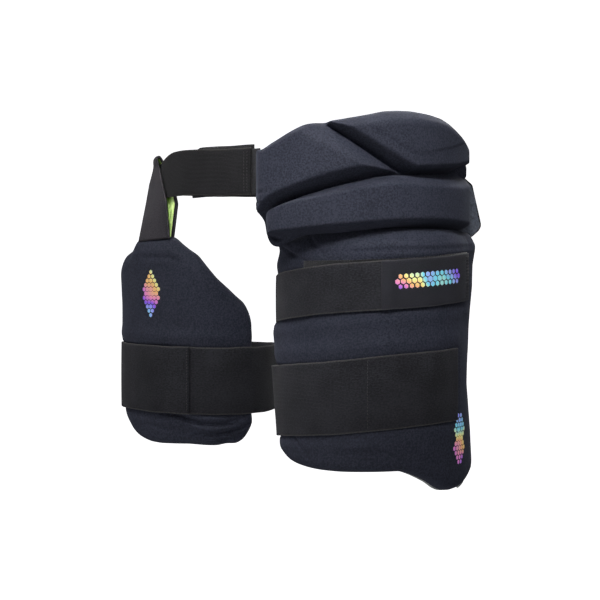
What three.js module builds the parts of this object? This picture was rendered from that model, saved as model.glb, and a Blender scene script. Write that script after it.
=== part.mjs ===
// A cricket thigh guard as it is worn: a padded hip and thigh guard on the wearer's left leg, a smaller
// inner guard on the right leg, the elastic straps that close round each leg, and the belt that joins both.
// Millimetres. +X is the wearer's left, -Y the wearer's front and +Z up, from the middle of the waist.

import * as THREE from 'three';
import { mergeVertices } from 'three/addons/utils/BufferGeometryUtils.js';

// The body that the guard closes round
const legRadius = 84;
const legOffset = 115;
const hipFullness = 19;
const hipInset = 27;
const bellyRise = 6.5;
const waistHalfRight = 163;

// Layers, from the body outwards
const gap = 0.4;
const beltThickness = 1.8;
const beltWidth = 50;
const strapThickness = 1.5;
const upperStrapWidth = 50;
const wideStrapWidth = 75;
const tabThickness = 1.1;
const patchThickness = 0.8;
const liningThickness = 1.2;
const stripThickness = 1.4;
const stripLiningThickness = 0.8;
const webThickness = 1.5;
const webLength = 46;
const beltBackRise = 16;

// The hip part: a thin base that carries three thick blocks
const baseThickness = 8;
const blockThickness = 20;
const blockEdge = 7;
const blockFootWall = 2;
const blockGap = 3;
const halfGap = blockGap / 2;
const hipHeight = 122;
const hipDrop = 66;
const upperBevel = 10;
const lowerBevel = 13;

// The two thigh pads
const panelThickness = 17;
const panelHeight = 267;
const panelTopBevel = 21;
const panelFootBevel = 17;
const innerPadThickness = 13.5;
const innerPadHeight = 230;
const innerPadTopBevel = 20;
const innerPadFootBevel = 14;

const degrees = Math.PI / 180;
const hipBottom = -hipDrop;
const hipRadius = legRadius + hipFullness;
const hipOffset = legOffset - hipInset;
const waistHalfDepth = hipRadius + bellyRise;
const waistHalfLeft = hipOffset + hipRadius - 2 * beltThickness;
const panelTop = hipBottom - gap;
const baseOuter = hipRadius + baseThickness;
const panelInner = legRadius + gap + strapThickness + gap + liningThickness + gap;
const panelOuter = panelInner + panelThickness;
const innerPadOuter = legRadius + innerPadThickness;

const colours = {
  padFabric: { color: 0x262a36, roughness: 0.85, metalness: 0 },
  elastic: { color: 0x232222, roughness: 0.95, metalness: 0 },
  smoothTab: { color: 0x1e1e20, roughness: 0.7, metalness: 0 },
  pile: { color: 0x2a2b2e, roughness: 1, metalness: 0 },
  strip: { color: 0x333135, roughness: 0.9, metalness: 0 },
  neon: { color: 0xc5ff60, roughness: 0.8, metalness: 0 },
  web: { color: 0x4a4e57, roughness: 0.75, metalness: 0 },
  lining: { color: 0x9da09c, roughness: 0.9, metalness: 0 },
};

const group = new THREE.Group();

function addMesh(name, geometry, look) {
  const mesh = new THREE.Mesh(geometry, new THREE.MeshStandardMaterial(look));
  mesh.name = name;
  group.add(mesh);
}

// A box of cells bent into place: column and row count along its two long ways, outside tells its two faces
function bentBox(columns, rows, place) {
  const box = new THREE.BoxGeometry(1, 1, 1, columns, rows, 1);
  const corners = box.attributes.position;
  for (let n = 0; n < corners.count; n += 1) {
    const column = Math.round((corners.getX(n) + 0.5) * columns);
    const row = Math.round((corners.getY(n) + 0.5) * rows);
    const point = place(column, row, corners.getZ(n) > 0);
    corners.setXYZ(n, point.x, point.y, point.z);
  }
  box.deleteAttribute('normal');
  box.deleteAttribute('uv');
  const solid = mergeVertices(box, 1e-4);
  solid.computeVertexNormals();
  return solid;
}

// Straight-line reading of one named column of a table whose rows go up by angle
function readTable(table, column, angle) {
  const rows = table.filter((row) => row[column] !== undefined);
  const next = rows.findIndex((row) => row.angle >= angle);
  if (next === 0) return rows[0][column];
  if (next < 0) return rows[rows.length - 1][column];
  const before = rows[next - 1];
  const after = rows[next];
  const share = (angle - before.angle) / (after.angle - before.angle);
  return THREE.MathUtils.lerp(before[column], after[column], share);
}

function evenSteps(from, to, step) {
  const count = Math.max(1, Math.round((to - from) / step));
  return Array.from({ length: count + 1 }, (_, n) => from + ((to - from) * n) / count);
}

// Angles go round from the wearer's front towards the wearer's left.
// The hip wall is round at the side and runs straight across the belly in front of it.
function onHip(angle, radius, height) {
  const turn = angle * degrees;
  if (angle < 0) return new THREE.Vector3(hipOffset + baseOuter * turn, -radius, height);
  return new THREE.Vector3(hipOffset + radius * Math.sin(turn), -radius * Math.cos(turn), height);
}

function roundLeg(centre, angle, radius, height) {
  const turn = angle * degrees;
  return new THREE.Vector3(centre + radius * Math.sin(turn), -radius * Math.cos(turn), height);
}

const onLeftLeg = (angle, radius, height) => roundLeg(legOffset, angle, radius, height);
const onRightLeg = (angle, radius, height) => roundLeg(-legOffset, angle, radius, height);

// A wall round the body: its rows of heights at each angle, and the radius of each face
function wallSolid(place, angles, heightsAt, innerRadius, outerRadiusAt) {
  const rows = heightsAt(angles[0]).length - 1;
  return bentBox(angles.length - 1, rows, (column, row, outside) => {
    const angle = angles[column];
    const height = heightsAt(angle)[row];
    const radius = outside ? outerRadiusAt(angle, row) : innerRadius;
    return place(angle, radius, height);
  });
}

// Edges of the hip part, as shares of hipHeight above the seam to the thigh panel.
// crown: top of the two upper blocks. slant: valley between them. crease: valley above the band.
// foot: bottom of the band. hem: bottom of the base.
const hipLines = [
  { angle: -24.5, crown: 0.66, slant: 1.1, crease: 0.303, foot: 0.0, hem: 0.303 },
  { angle: -21, crown: 0.705, crease: 0.21, foot: 0.0, hem: 0.19 },
  { angle: -17.5, crown: 0.71, crease: 0.16, foot: -0.01, hem: 0.02 },
  { angle: -14, crown: 0.728, crease: 0.21, foot: -0.03, hem: -0.085 },
  { angle: -11, crown: 0.755, crease: 0.238, foot: -0.035, hem: -0.11 },
  { angle: -8.6, crown: 0.772, crease: 0.252, foot: -0.03, hem: -0.112 },
  { angle: -3.7, crown: 0.806, crease: 0.276, foot: -0.03, hem: -0.05 },
  { angle: 7, crown: 0.883, crease: 0.328, foot: -0.028, hem: -0.018 },
  { angle: 13, crown: 0.895, slant: 0.95, crease: 0.352, foot: -0.022, hem: 0 },
  { angle: 18, crown: 0.891, slant: 0.892, crease: 0.373, foot: -0.016, hem: 0 },
  { angle: 27, crown: 0.922, slant: 0.795, crease: 0.403, foot: -0.006, hem: 0 },
  { angle: 35, crown: 0.942, slant: 0.698, crease: 0.429, foot: 0.002, hem: 0 },
  { angle: 42, crown: 0.96, slant: 0.61, crease: 0.452, foot: 0.01, hem: 0 },
  { angle: 50, crown: 0.992, slant: 0.52, crease: 0.467, foot: 0.018, hem: 0 },
  { angle: 58, crown: 1.002, slant: 0.46, crease: 0.473, foot: 0.024, hem: 0 },
  { angle: 65, crown: 1.005, crease: 0.477, foot: 0.027, hem: 0 },
  { angle: 76, crown: 0.992, crease: 0.488, foot: 0.027, hem: 0 },
  { angle: 83, crown: 0.977, crease: 0.495, foot: 0.022, hem: 0 },
  { angle: 90, crown: 0.945, crease: 0.508, foot: 0.015, hem: 0 },
  { angle: 98, crown: 0.893, crease: 0.525, foot: 0.008, hem: 0 },
  { angle: 105, crown: 0.848, crease: 0.547, foot: 0.006, hem: 0 },
  { angle: 110, crown: 0.815, crease: 0.558, foot: 0.006, hem: 0 },
  { angle: 116, crown: 0.77, crease: 0.565, foot: 0.006, hem: 0 },
];

const hipLine = (column, angle) => hipBottom + hipHeight * readTable(hipLines, column, angle);

// The reach of each hip piece, and the angles between which its block has its full thickness
const hipReach = {
  base: { from: -24.5, to: 116 },
  front: { from: -23.5, to: 50, fullFrom: -16, fullTo: 33 },
  side: { from: 22.5, to: 115, fullFrom: 33, fullTo: 108 },
  band: { from: -15.5, to: 114, fullFrom: -6, fullTo: 107 },
};

// Degrees between the columns of a wall
const hipStep = 4;
const strapStep = 5;
const backStep = 7;

function hipBase() {
  const { from, to } = hipReach.base;
  const heightsAt = (angle) => {
    const low = hipLine('hem', angle);
    const high = hipLine('crown', angle) - halfGap;
    return [low, THREE.MathUtils.lerp(low, high, 0.5), high];
  };
  return wallSolid(onHip, evenSteps(from, to, hipStep), heightsAt, hipRadius, () => baseOuter);
}

// A block has a steep lower wall, a flat face and a wide upper bevel, and thins out at both ends
function hipBlock(reach, lowAt, highAt) {
  const inner = baseOuter + gap;
  const heightsAt = (angle) => {
    const low = lowAt(angle);
    const high = highAt(angle);
    const tall = high - low;
    const wall = Math.min(lowerBevel, tall * 0.35);
    const bevel = Math.min(upperBevel, tall * 0.35);
    const middle = (low + wall + high - bevel) / 2;
    return [low, low + wall, middle, high - bevel, high];
  };
  const riseByRow = [blockFootWall, blockThickness, blockThickness, blockThickness, blockEdge];
  const outerAt = (angle, row) => {
    const opening = THREE.MathUtils.clamp((angle - reach.from) / (reach.fullFrom - reach.from), 0, 1);
    const closing = THREE.MathUtils.clamp((reach.to - angle) / (reach.to - reach.fullTo), 0, 1);
    const fullness = Math.min(opening, closing);
    return inner + THREE.MathUtils.lerp(blockFootWall, riseByRow[row], 0.1 + 0.9 * fullness);
  };
  return wallSolid(onHip, evenSteps(reach.from, reach.to, hipStep), heightsAt, inner, outerAt);
}

function hipBlockFront() {
  const lowAt = (angle) => hipLine('crease', angle) + halfGap;
  const highAt = (angle) => Math.min(hipLine('crown', angle), hipLine('slant', angle) - halfGap);
  return hipBlock(hipReach.front, lowAt, highAt);
}

function hipBlockSide() {
  const lowAt = (angle) => Math.max(hipLine('slant', angle), hipLine('crease', angle)) + halfGap;
  return hipBlock(hipReach.side, lowAt, (angle) => hipLine('crown', angle));
}

function hipBand() {
  const highAt = (angle) => hipLine('crease', angle) - halfGap;
  return hipBlock(hipReach.band, (angle) => hipLine('foot', angle), highAt);
}

// A pad on a thigh. Its rings go up from the foot to the top: step counts bevel widths from an edge, or is
// the share of the way up between the bevels, and fullness is the share of the pad's thickness there.
function thighPad(place, pad) {
  const first = pad.angles[0];
  const last = pad.angles[pad.angles.length - 1];
  const heightsAt = (angle) => {
    const low = pad.top - pad.height * readTable(pad.outline, 'bottom', angle);
    const high = pad.top - pad.height * readTable(pad.outline, 'top', angle);
    const byEdge = {
      foot: (step) => low + step * pad.footBevel,
      body: (step) => THREE.MathUtils.lerp(low + 2.3 * pad.footBevel, high - 1.5 * pad.topBevel, step),
      top: (step) => high - step * pad.topBevel,
    };
    return pad.rings.map((ring) => byEdge[ring.edge](ring.step));
  };
  const outerAt = (angle, row) => {
    const along = Math.min(1, Math.min(angle - first, last - angle) / pad.sideBevel);
    const side = pad.rim + (1 - pad.rim) * Math.sin((Math.PI / 2) * along);
    return pad.inner + pad.thickness * Math.min(side, pad.rings[row].fullness);
  };
  return wallSolid(place, pad.angles, heightsAt, pad.inner, outerAt);
}

// Edges of the thigh panel, as shares of panelHeight below its top
const panelOutline = [
  { angle: -53, top: 0.33, bottom: 0.7 },
  { angle: -48, top: 0.185, bottom: 0.79 },
  { angle: -44, top: 0.08, bottom: 0.83 },
  { angle: -40, top: 0.012, bottom: 0.85 },
  { angle: -35, top: 0, bottom: 0.863 },
  { angle: -22, top: 0, bottom: 0.889 },
  { angle: -11, top: 0, bottom: 0.908 },
  { angle: 0, top: 0, bottom: 0.916 },
  { angle: 16, top: 0, bottom: 0.914 },
  { angle: 39, top: 0, bottom: 0.91 },
  { angle: 47, top: 0, bottom: 0.914 },
  { angle: 53, top: 0, bottom: 0.927 },
  { angle: 61, top: 0, bottom: 0.948 },
  { angle: 70, top: 0, bottom: 0.982 },
  { angle: 79, top: 0, bottom: 1 },
  { angle: 87, top: 0, bottom: 1 },
  { angle: 96, top: 0, bottom: 0.978 },
  { angle: 107, top: 0, bottom: 0.94 },
  { angle: 125, top: 0.03, bottom: 0.899 },
  { angle: 135, top: 0.09, bottom: 0.84 },
];

const panelAngles = [-53, -50, -46, -42, ...evenSteps(-37, 125, 5), 130, 135];

// The second ring from the top is a crease under the top bevel
const panelRings = [
  { edge: 'foot', step: 0, fullness: 0.3 },
  { edge: 'foot', step: 0.4, fullness: 0.8 },
  { edge: 'foot', step: 1, fullness: 1 },
  { edge: 'body', step: 0, fullness: 1 },
  { edge: 'body', step: 0.5, fullness: 1 },
  { edge: 'body', step: 1, fullness: 1 },
  { edge: 'top', step: 1.1, fullness: 0.93 },
  { edge: 'top', step: 0.9, fullness: 0.97 },
  { edge: 'top', step: 0.45, fullness: 0.88 },
  { edge: 'top', step: 0, fullness: 0.7 },
];

function thighPanel() {
  return thighPad(onLeftLeg, {
    outline: panelOutline,
    rings: panelRings,
    angles: panelAngles,
    top: panelTop,
    height: panelHeight,
    inner: panelInner,
    thickness: panelThickness,
    rim: 0.3,
    topBevel: panelTopBevel,
    footBevel: panelFootBevel,
    sideBevel: 8,
  });
}

// The lining covers the inside of the thigh panel and shows as a thin edge below it
function thighLining() {
  const liningShow = 1.5;
  const heightsAt = (angle) => {
    const low = panelTop - panelHeight * readTable(panelOutline, 'bottom', angle) - liningShow;
    const high = panelTop - panelHeight * readTable(panelOutline, 'top', angle) - liningShow;
    return [low, high];
  };
  const inner = panelInner - gap - liningThickness;
  const angles = panelAngles.slice(1, -1);
  return wallSolid(onLeftLeg, angles, heightsAt, inner, () => inner + liningThickness);
}

// Edges of the inner pad, as shares of innerPadHeight below its neck
const innerOutline = [
  { angle: -52, top: 0.17, bottom: 0.76 },
  { angle: -49, top: 0.125, bottom: 0.81 },
  { angle: -45, top: 0.1, bottom: 0.846 },
  { angle: -38, top: 0.078, bottom: 0.885 },
  { angle: -31, top: 0.065, bottom: 0.925 },
  { angle: -24, top: 0.048, bottom: 0.96 },
  { angle: -18.7, top: 0.02, bottom: 0.98 },
  { angle: -14, top: 0.004, bottom: 0.9935 },
  { angle: -4, top: 0, bottom: 0.999 },
  { angle: 16, top: 0, bottom: 1 },
  { angle: 20.5, top: 0.03, bottom: 1 },
  { angle: 32, top: 0.083, bottom: 1 },
  { angle: 38, top: 0.122, bottom: 1.003 },
  { angle: 43, top: 0.177, bottom: 1.007 },
  { angle: 53, top: 0.234, bottom: 1 },
  { angle: 60, top: 0.274, bottom: 0.999 },
  { angle: 67, top: 0.318, bottom: 0.985 },
  { angle: 70.5, top: 0.35, bottom: 0.95 },
  { angle: 73, top: 0.42, bottom: 0.87 },
];

const innerAngles = [
  ...[-52, -50, -47, -43, -38, -33, -28, -23, -18.7],
  ...[-14, -9, -4, 1, 6, 11, 16, 20.5, 26, 32, 38, 43, 48, 53],
  ...[58, 63, 67, 70.5, 73],
];

// A fold runs along the pad under its strap, between full rings
const innerRings = [
  { edge: 'foot', step: 0, fullness: 0.42 },
  { edge: 'foot', step: 0.4, fullness: 0.84 },
  { edge: 'foot', step: 1, fullness: 1 },
  { edge: 'foot', step: 1.45, fullness: 0.98 },
  { edge: 'foot', step: 1.8, fullness: 0.84 },
  { edge: 'body', step: 0, fullness: 1 },
  { edge: 'body', step: 0.5, fullness: 1 },
  { edge: 'body', step: 1, fullness: 1 },
  { edge: 'top', step: 1, fullness: 1 },
  { edge: 'top', step: 0.5, fullness: 0.86 },
  { edge: 'top', step: 0, fullness: 0.6 },
];

function innerPad() {
  return thighPad(onRightLeg, {
    outline: innerOutline,
    rings: innerRings,
    angles: innerAngles,
    top: hipBottom - gap,
    height: innerPadHeight,
    inner: legRadius,
    thickness: innerPadThickness,
    rim: 0.42,
    topBevel: innerPadTopBevel,
    footBevel: innerPadFootBevel,
    sideBevel: 7,
  });
}

// The left straps start inside the panel's rear edge; the lower one ends in front of it
const leftStrapStart = -244;
const lowerStrapEnd = 88.5;

// Where a strap runs at each angle round the leg: the radius of its inner face and the height of its middle
const strapOnPad = panelOuter + gap;
const strapOnPatch = strapOnPad + patchThickness + gap;

const upperStrapRoute = [
  { angle: leftStrapStart, lift: 0, height: 0.185 },
  { angle: -180, lift: 0, height: 0.215 },
  { angle: -90, lift: 0, height: 0.27 },
  { angle: -72, lift: 0.42, height: 0.268 },
  { angle: -58, lift: 0.88, height: 0.263 },
  { angle: -46, lift: 1, height: 0.258 },
  { angle: 8, lift: 1, height: 0.219 },
  { angle: 40, lift: 1, height: 0.205 },
  { angle: 65, lift: 1, height: 0.193 },
  { angle: 105, lift: 1, height: 0.167 },
];

const lowerStrapRoute = [
  { angle: leftStrapStart, lift: 0, height: 0.6 },
  { angle: -180, lift: 0, height: 0.63 },
  { angle: -90, lift: 0, height: 0.672 },
  { angle: -72, lift: 0.42, height: 0.67 },
  { angle: -58, lift: 0.88, height: 0.668 },
  { angle: -46, lift: 1, height: 0.666 },
  { angle: 8, lift: 1, height: 0.636 },
  { angle: 32, lift: 1, height: 0.617 },
  { angle: 55, lift: 1, height: 0.602 },
  { angle: lowerStrapEnd, lift: 1, height: 0.588 },
];

function strapSolid(place, angles, radiusAt, middleAt, width, thickness) {
  return bentBox(angles.length - 1, 2, (column, row, outside) => {
    const angle = angles[column];
    const height = middleAt(angle) + width * (row / 2 - 0.5);
    const radius = radiusAt(angle) + (outside ? thickness : 0);
    return place(angle, radius, height);
  });
}

const leftStrapHeight = (route, angle) => panelTop - panelHeight * readTable(route, 'height', angle);

// Inside the panel's rear edge, round the back of the leg and over the front of the pad
function leftStrap(route, end, onFront, width) {
  const back = evenSteps(leftStrapStart, -90, backStep);
  const angles = [...back, ...evenSteps(-85, -46, strapStep), ...evenSteps(-41, end, strapStep)];
  const radiusAt = (angle) => THREE.MathUtils.lerp(legRadius, onFront, readTable(route, 'lift', angle));
  const middleAt = (angle) => leftStrapHeight(route, angle);
  return strapSolid(onLeftLeg, angles, radiusAt, middleAt, width, strapThickness);
}

const tabSeam = { from: 36.5, elasticEnd: 40.5, halfway: 43.5, settled: 47, end: 104 };

function upperStrapTab() {
  const { from, elasticEnd, halfway, settled, end } = tabSeam;
  const angles = [from, elasticEnd, halfway, ...evenSteps(settled, end, strapStep)];
  const radiusAt = (angle) => {
    const down = THREE.MathUtils.smoothstep(angle, elasticEnd, settled);
    return strapOnPatch + (strapThickness + gap) * (1 - down);
  };
  const middleAt = (angle) => leftStrapHeight(upperStrapRoute, angle);
  return strapSolid(onLeftLeg, angles, radiusAt, middleAt, upperStrapWidth, tabThickness);
}

// The loop-pile patch under the upper strap shows as a band above it, wider at its front end
const patchReach = { from: -22, to: 103, showFront: 7, showRear: 2 };

function upperStrapPatch() {
  const { from, to, showFront, showRear } = patchReach;
  const middleAt = (angle) => {
    const show = THREE.MathUtils.mapLinear(angle, from, to, showFront, showRear);
    return leftStrapHeight(upperStrapRoute, angle) + show;
  };
  const angles = evenSteps(from, to, strapStep);
  return strapSolid(onLeftLeg, angles, () => strapOnPad, middleAt, upperStrapWidth, patchThickness);
}

// The inner strap goes once round the leg and its end lies over its start
const innerStrapDrop = 0.692;

function innerThighStrap() {
  const overlap = { start: 17, end: 388, rise: 350, settled: 366 };
  const route = [
    { angle: 17, lift: 1 },
    { angle: 69, lift: 1 },
    { angle: 75, lift: 0.93 },
    { angle: 89, lift: 0.5 },
    { angle: 102, lift: 0.14 },
    { angle: 113, lift: 0 },
    { angle: 260, lift: 0 },
    { angle: 274, lift: 0.14 },
    { angle: 289, lift: 0.5 },
    { angle: 303, lift: 0.93 },
    { angle: 309, lift: 1 },
  ];
  const radiusAt = (angle) => {
    const over = (strapThickness + gap) * THREE.MathUtils.smoothstep(angle, overlap.rise, overlap.settled);
    return THREE.MathUtils.lerp(legRadius, innerPadOuter + gap, readTable(route, 'lift', angle)) + over;
  };
  const middle = hipBottom - innerPadHeight * innerStrapDrop;
  const angles = evenSteps(overlap.start, overlap.end, 5.3);
  return strapSolid(onRightLeg, angles, radiusAt, () => middle, wideStrapWidth, strapThickness);
}

// The waist line: an oval, wider on the side of the hip part; out is the distance outside it
function onWaist(angle, out, height) {
  const turn = angle * degrees;
  const half = Math.sin(turn) < 0 ? waistHalfRight : waistHalfLeft;
  const along = new THREE.Vector2(half * Math.cos(turn), waistHalfDepth * Math.sin(turn)).normalize();
  const x = half * Math.sin(turn) + out * along.y;
  const y = -waistHalfDepth * Math.cos(turn) - out * along.x;
  return new THREE.Vector3(x, y, height);
}

// A flat strip on edge along a path: each path point gives where it is and which way is outwards
function bandSolid(path, low, high, thickness) {
  return bentBox(path.length - 1, 1, (column, row, outside) => {
    const { point, outward } = path[column];
    const shift = outside ? thickness / 2 : -thickness / 2;
    const corner = point.clone().addScaledVector(outward, shift);
    corner.z += row === 0 ? low : high;
    return corner;
  });
}

// The belt rides higher at the back than at the front
function beltRise(angle) {
  const backwards = THREE.MathUtils.smoothstep(angle, 124, 165);
  const forwards = THREE.MathUtils.smoothstep(angle, 262, 318);
  return beltBackRise * (backwards - forwards);
}

function levelPath(points) {
  return points.map((point, n) => {
    const before = points[Math.max(0, n - 1)];
    const after = points[Math.min(points.length - 1, n + 1)];
    const along = after.clone().sub(before).setZ(0).normalize();
    return { point, outward: new THREE.Vector3(along.y, -along.x, 0) };
  });
}

// From inside the hip part's rear edge, round the back and the right hip, to its free end in front
function waistBelt() {
  const underHip = hipRadius - gap - beltThickness / 2;
  const start = evenSteps(82, 109, strapStep).map((angle) => onHip(angle, underHip, 0));
  const round = evenSteps(124, 371, strapStep).map((angle) => onWaist(angle, 0, beltRise(angle)));
  const bend = new THREE.CatmullRomCurve3([...start.slice(-2), ...round.slice(0, 2)]);
  const between = [0.45, 0.55].map((share) => bend.getPoint(share));
  const path = levelPath([...start, ...between, ...round]);
  return bandSolid(path, -beltWidth / 2, beltWidth / 2, beltThickness);
}

// The tab runs from the hip part's front edge under the belt's free end
function beltTab() {
  const tabRise = 5;
  const inside = -(beltThickness + gap);
  const edge = hipOffset + baseOuter * hipReach.base.from * degrees - gap;
  const last = Math.asin(edge / waistHalfLeft) / degrees;
  const points = evenSteps(-19, last, 4.5).map((angle) => onWaist(angle, inside, 0));
  return bandSolid(levelPath(points), -beltWidth / 2 + 1, beltWidth / 2 + tabRise, beltThickness);
}

// The hanger: a strip from the neck of the inner pad, up outside the belt, over it and down inside it.
// Each pair of angles is its rear and its front edge.
const hanger = {
  waist: [-74, -50],
  low: [-58, -43],
  lowSpread: [8, 1.5],
  neck: [-18.7, 10.9],
  backNeck: [-15, 13.4],
  neckDepth: 0.5,
  across: 5,
  longestStep: 9,
};

// Corners of one line along the strip; share 0 is its rear edge and share 1 its front edge
function hangerCorners(share) {
  const between = ([rear, front]) => THREE.MathUtils.lerp(rear, front, share);
  const waistAngle = between(hanger.waist);
  const lowAngle = between(hanger.low);
  const lowSpread = between(hanger.lowSpread);
  const clear = beltThickness / 2 + gap + stripLiningThickness + gap + stripThickness / 2;
  const rise = beltRise(360 + waistAngle);
  const top = beltWidth / 2 + rise;
  const foot = -beltWidth / 2;
  const neck = hipBottom + stripThickness / 2;
  const midAngle = (lowAngle + waistAngle) / 2;
  return [
    onRightLeg(between(hanger.neck), legRadius + hanger.neckDepth * innerPadThickness, neck),
    onWaist(lowAngle, clear + lowSpread, foot),
    onWaist(midAngle, clear + 1 + lowSpread / 2, 0),
    onWaist(waistAngle, clear + 1, top),
    onWaist(waistAngle, clear * 0.75, top + clear * 0.75),
    onWaist(waistAngle, 0, top + clear * 1.1),
    onWaist(waistAngle, -clear * 0.75, top + clear * 0.75),
    onWaist(waistAngle, -clear - 1, top),
    onWaist(waistAngle, -clear - 3, 0),
    onWaist(waistAngle, -clear - 1, foot - clear),
    onWaist(midAngle, 0, foot - clear * 3),
    onRightLeg(between(hanger.backNeck), legRadius + stripThickness, neck),
  ];
}

// The same lines with their long steps cut up at the same places, so that the twist in each cell is small
function hangerLines() {
  const corners = evenSteps(0, 1, 1 / hanger.across).map((share) => hangerCorners(share));
  const middle = corners[Math.floor(hanger.across / 2)];
  const cutsTo = (corner, n) => Math.ceil(corner.distanceTo(middle[n]) / hanger.longestStep);
  const cuts = middle.slice(1).map(cutsTo);
  return corners.map((line) => {
    const points = cuts.flatMap((count, n) => (
      Array.from({ length: count }, (_, step) => line[n].clone().lerp(line[n + 1], step / count))
    ));
    return [...points, line[line.length - 1]];
  });
}

function hangerSolid(depth, thickness) {
  const { across } = hanger;
  const lines = hangerLines();
  const steps = lines[0].length - 1;
  return bentBox(steps, across, (column, row, outside) => {
    const line = lines[across - row];
    const along = line[Math.min(steps, column + 1)].clone().sub(line[Math.max(0, column - 1)]);
    const side = lines[0][column].clone().sub(lines[across][column]);
    const outward = along.clone().cross(side).normalize();
    const shift = -depth + (outside ? thickness / 2 : -thickness / 2);
    return line[column].clone().addScaledVector(outward, shift);
  });
}

function hangerLoop() {
  return hangerSolid(0, stripThickness);
}

function hangerLining() {
  const depth = stripThickness / 2 + gap + stripLiningThickness / 2;
  return hangerSolid(depth, stripLiningThickness);
}

// A thin pointed web behind the hip part's rear edge, narrowing to its tip
function sideWeb() {
  const middle = hipRadius + baseThickness / 2;
  const root = onHip(hipReach.base.to, middle, 0);
  const lean = 22 * degrees;
  const away = new THREE.Vector3(Math.sin(lean), Math.cos(lean), 0);
  const webShape = [
    { along: 0, high: 0.56, low: 0.02 },
    { along: 0.4, high: 0.53, low: 0.02 },
    { along: 0.75, high: 0.49, low: 0.02 },
    { along: 1, high: 0.07, low: 0.03 },
  ];
  const start = gap + webThickness / 2;
  return bentBox(webShape.length - 1, 1, (column, row, outside) => {
    const { along, high, low } = webShape[column];
    const height = hipBottom + hipHeight * (row === 0 ? low : high);
    const outward = new THREE.Vector3(away.y, -away.x, 0);
    const point = root.clone().addScaledVector(away, start + webLength * along);
    point.addScaledVector(outward, outside ? webThickness / 2 : -webThickness / 2);
    point.z = height;
    return point;
  });
}

const upperStrap = leftStrap(upperStrapRoute, tabSeam.elasticEnd, strapOnPatch, upperStrapWidth);
const lowerStrap = leftStrap(lowerStrapRoute, lowerStrapEnd, strapOnPad, wideStrapWidth);

addMesh('hip_base', hipBase(), colours.padFabric);
addMesh('hip_block_front', hipBlockFront(), colours.padFabric);
addMesh('hip_block_side', hipBlockSide(), colours.padFabric);
addMesh('hip_band', hipBand(), colours.padFabric);
addMesh('side_web', sideWeb(), colours.web);
addMesh('thigh_panel', thighPanel(), colours.padFabric);
addMesh('thigh_lining', thighLining(), colours.lining);
addMesh('upper_strap_patch', upperStrapPatch(), colours.pile);
addMesh('upper_thigh_strap', upperStrap, colours.elastic);
addMesh('upper_strap_tab', upperStrapTab(), colours.smoothTab);
addMesh('lower_thigh_strap', lowerStrap, colours.elastic);
addMesh('inner_pad', innerPad(), colours.padFabric);
addMesh('inner_thigh_strap', innerThighStrap(), colours.elastic);
addMesh('waist_belt', waistBelt(), colours.elastic);
addMesh('belt_tab', beltTab(), colours.pile);
addMesh('hanger_loop', hangerLoop(), colours.strip);
addMesh('hanger_lining', hangerLining(), colours.neon);

export default group;
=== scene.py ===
# %% [markdown]
# A cricket thigh guard, shown in the form that it has when it is worn. The scene begins from the packed
# model: the main pieces made below take the place of its plain solids, in the same frame, in metres.
# +X is the wearer's left, -Y the front and +Z up, with the middle of the waist at the origin.

# %% Load the frame
import math

import bpy
import numpy as np
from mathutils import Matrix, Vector, noise
from mathutils.bvhtree import BVHTree


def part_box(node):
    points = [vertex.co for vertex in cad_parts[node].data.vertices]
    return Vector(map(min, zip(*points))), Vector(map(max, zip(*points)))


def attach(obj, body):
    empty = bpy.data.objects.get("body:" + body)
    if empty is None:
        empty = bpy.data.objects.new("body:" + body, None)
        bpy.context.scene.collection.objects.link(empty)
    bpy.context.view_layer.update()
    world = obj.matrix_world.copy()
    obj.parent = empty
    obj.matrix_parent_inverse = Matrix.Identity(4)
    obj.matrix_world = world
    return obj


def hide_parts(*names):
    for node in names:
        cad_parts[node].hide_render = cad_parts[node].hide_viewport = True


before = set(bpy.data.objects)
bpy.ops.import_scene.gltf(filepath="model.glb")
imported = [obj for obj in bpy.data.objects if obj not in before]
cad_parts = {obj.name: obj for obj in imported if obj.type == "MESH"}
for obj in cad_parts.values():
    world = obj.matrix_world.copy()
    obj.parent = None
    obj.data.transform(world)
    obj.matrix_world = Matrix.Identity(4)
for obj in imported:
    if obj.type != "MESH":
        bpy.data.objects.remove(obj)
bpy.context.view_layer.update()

print("nodes in the frame:", len(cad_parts))

# %% [markdown]
# Sizes. The body sizes are the ones that the solids were laid out with, and heights come from the boxes
# of the solids. Angles go round from the wearer's front towards the wearer's left.

# %% Sizes
LEG_RADIUS = 0.084
LEG_OFFSET = 0.115
HIP_RADIUS = 0.103
HIP_OFFSET = 0.088
GAP = 0.0004
STRAP_THICKNESS = 0.0015
BELT_THICKNESS = 0.0018
UPPER_WIDTH = 0.050
WIDE_WIDTH = 0.075

hip_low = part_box("hip_base")[0]
panel_low, panel_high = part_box("thigh_panel")
inner_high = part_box("inner_pad")[1]
HIP_SEAM = panel_high.z + GAP
HIP_HEIGHT = 0.122
BASE_OUTER = HIP_RADIUS + 0.008
PANEL_TOP = panel_high.z
PANEL_HEIGHT = 0.267
PANEL_INNER = LEG_RADIUS + 3 * GAP + STRAP_THICKNESS + 0.0012
PANEL_THICKNESS = 0.017
PANEL_OUTER = PANEL_INNER + PANEL_THICKNESS
INNER_TOP = inner_high.z
INNER_HEIGHT = 0.230
INNER_THICKNESS = 0.0135
INNER_OUTER = LEG_RADIUS + INNER_THICKNESS
# Subdivision draws a rim in by about this much, so the outlines are drawn larger by it
RIM_GROWTH = 0.0012
BACK_RISE = 0.016
print("hip seam at", round(HIP_SEAM, 4), "panel foot at", round(panel_low.z, 4))


# %% [markdown]
# Every outline is a short table against the angle round the body, with heights as shares of the piece's
# own height. A smooth curve through the rows gives any point between them.

# %% Reading a table
def read_table(rows, angles):
    """A value for each angle, straight between the rows (angle, value)."""
    table = np.array(rows, float)
    return np.interp(angles, table[:, 0], table[:, 1])


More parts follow.
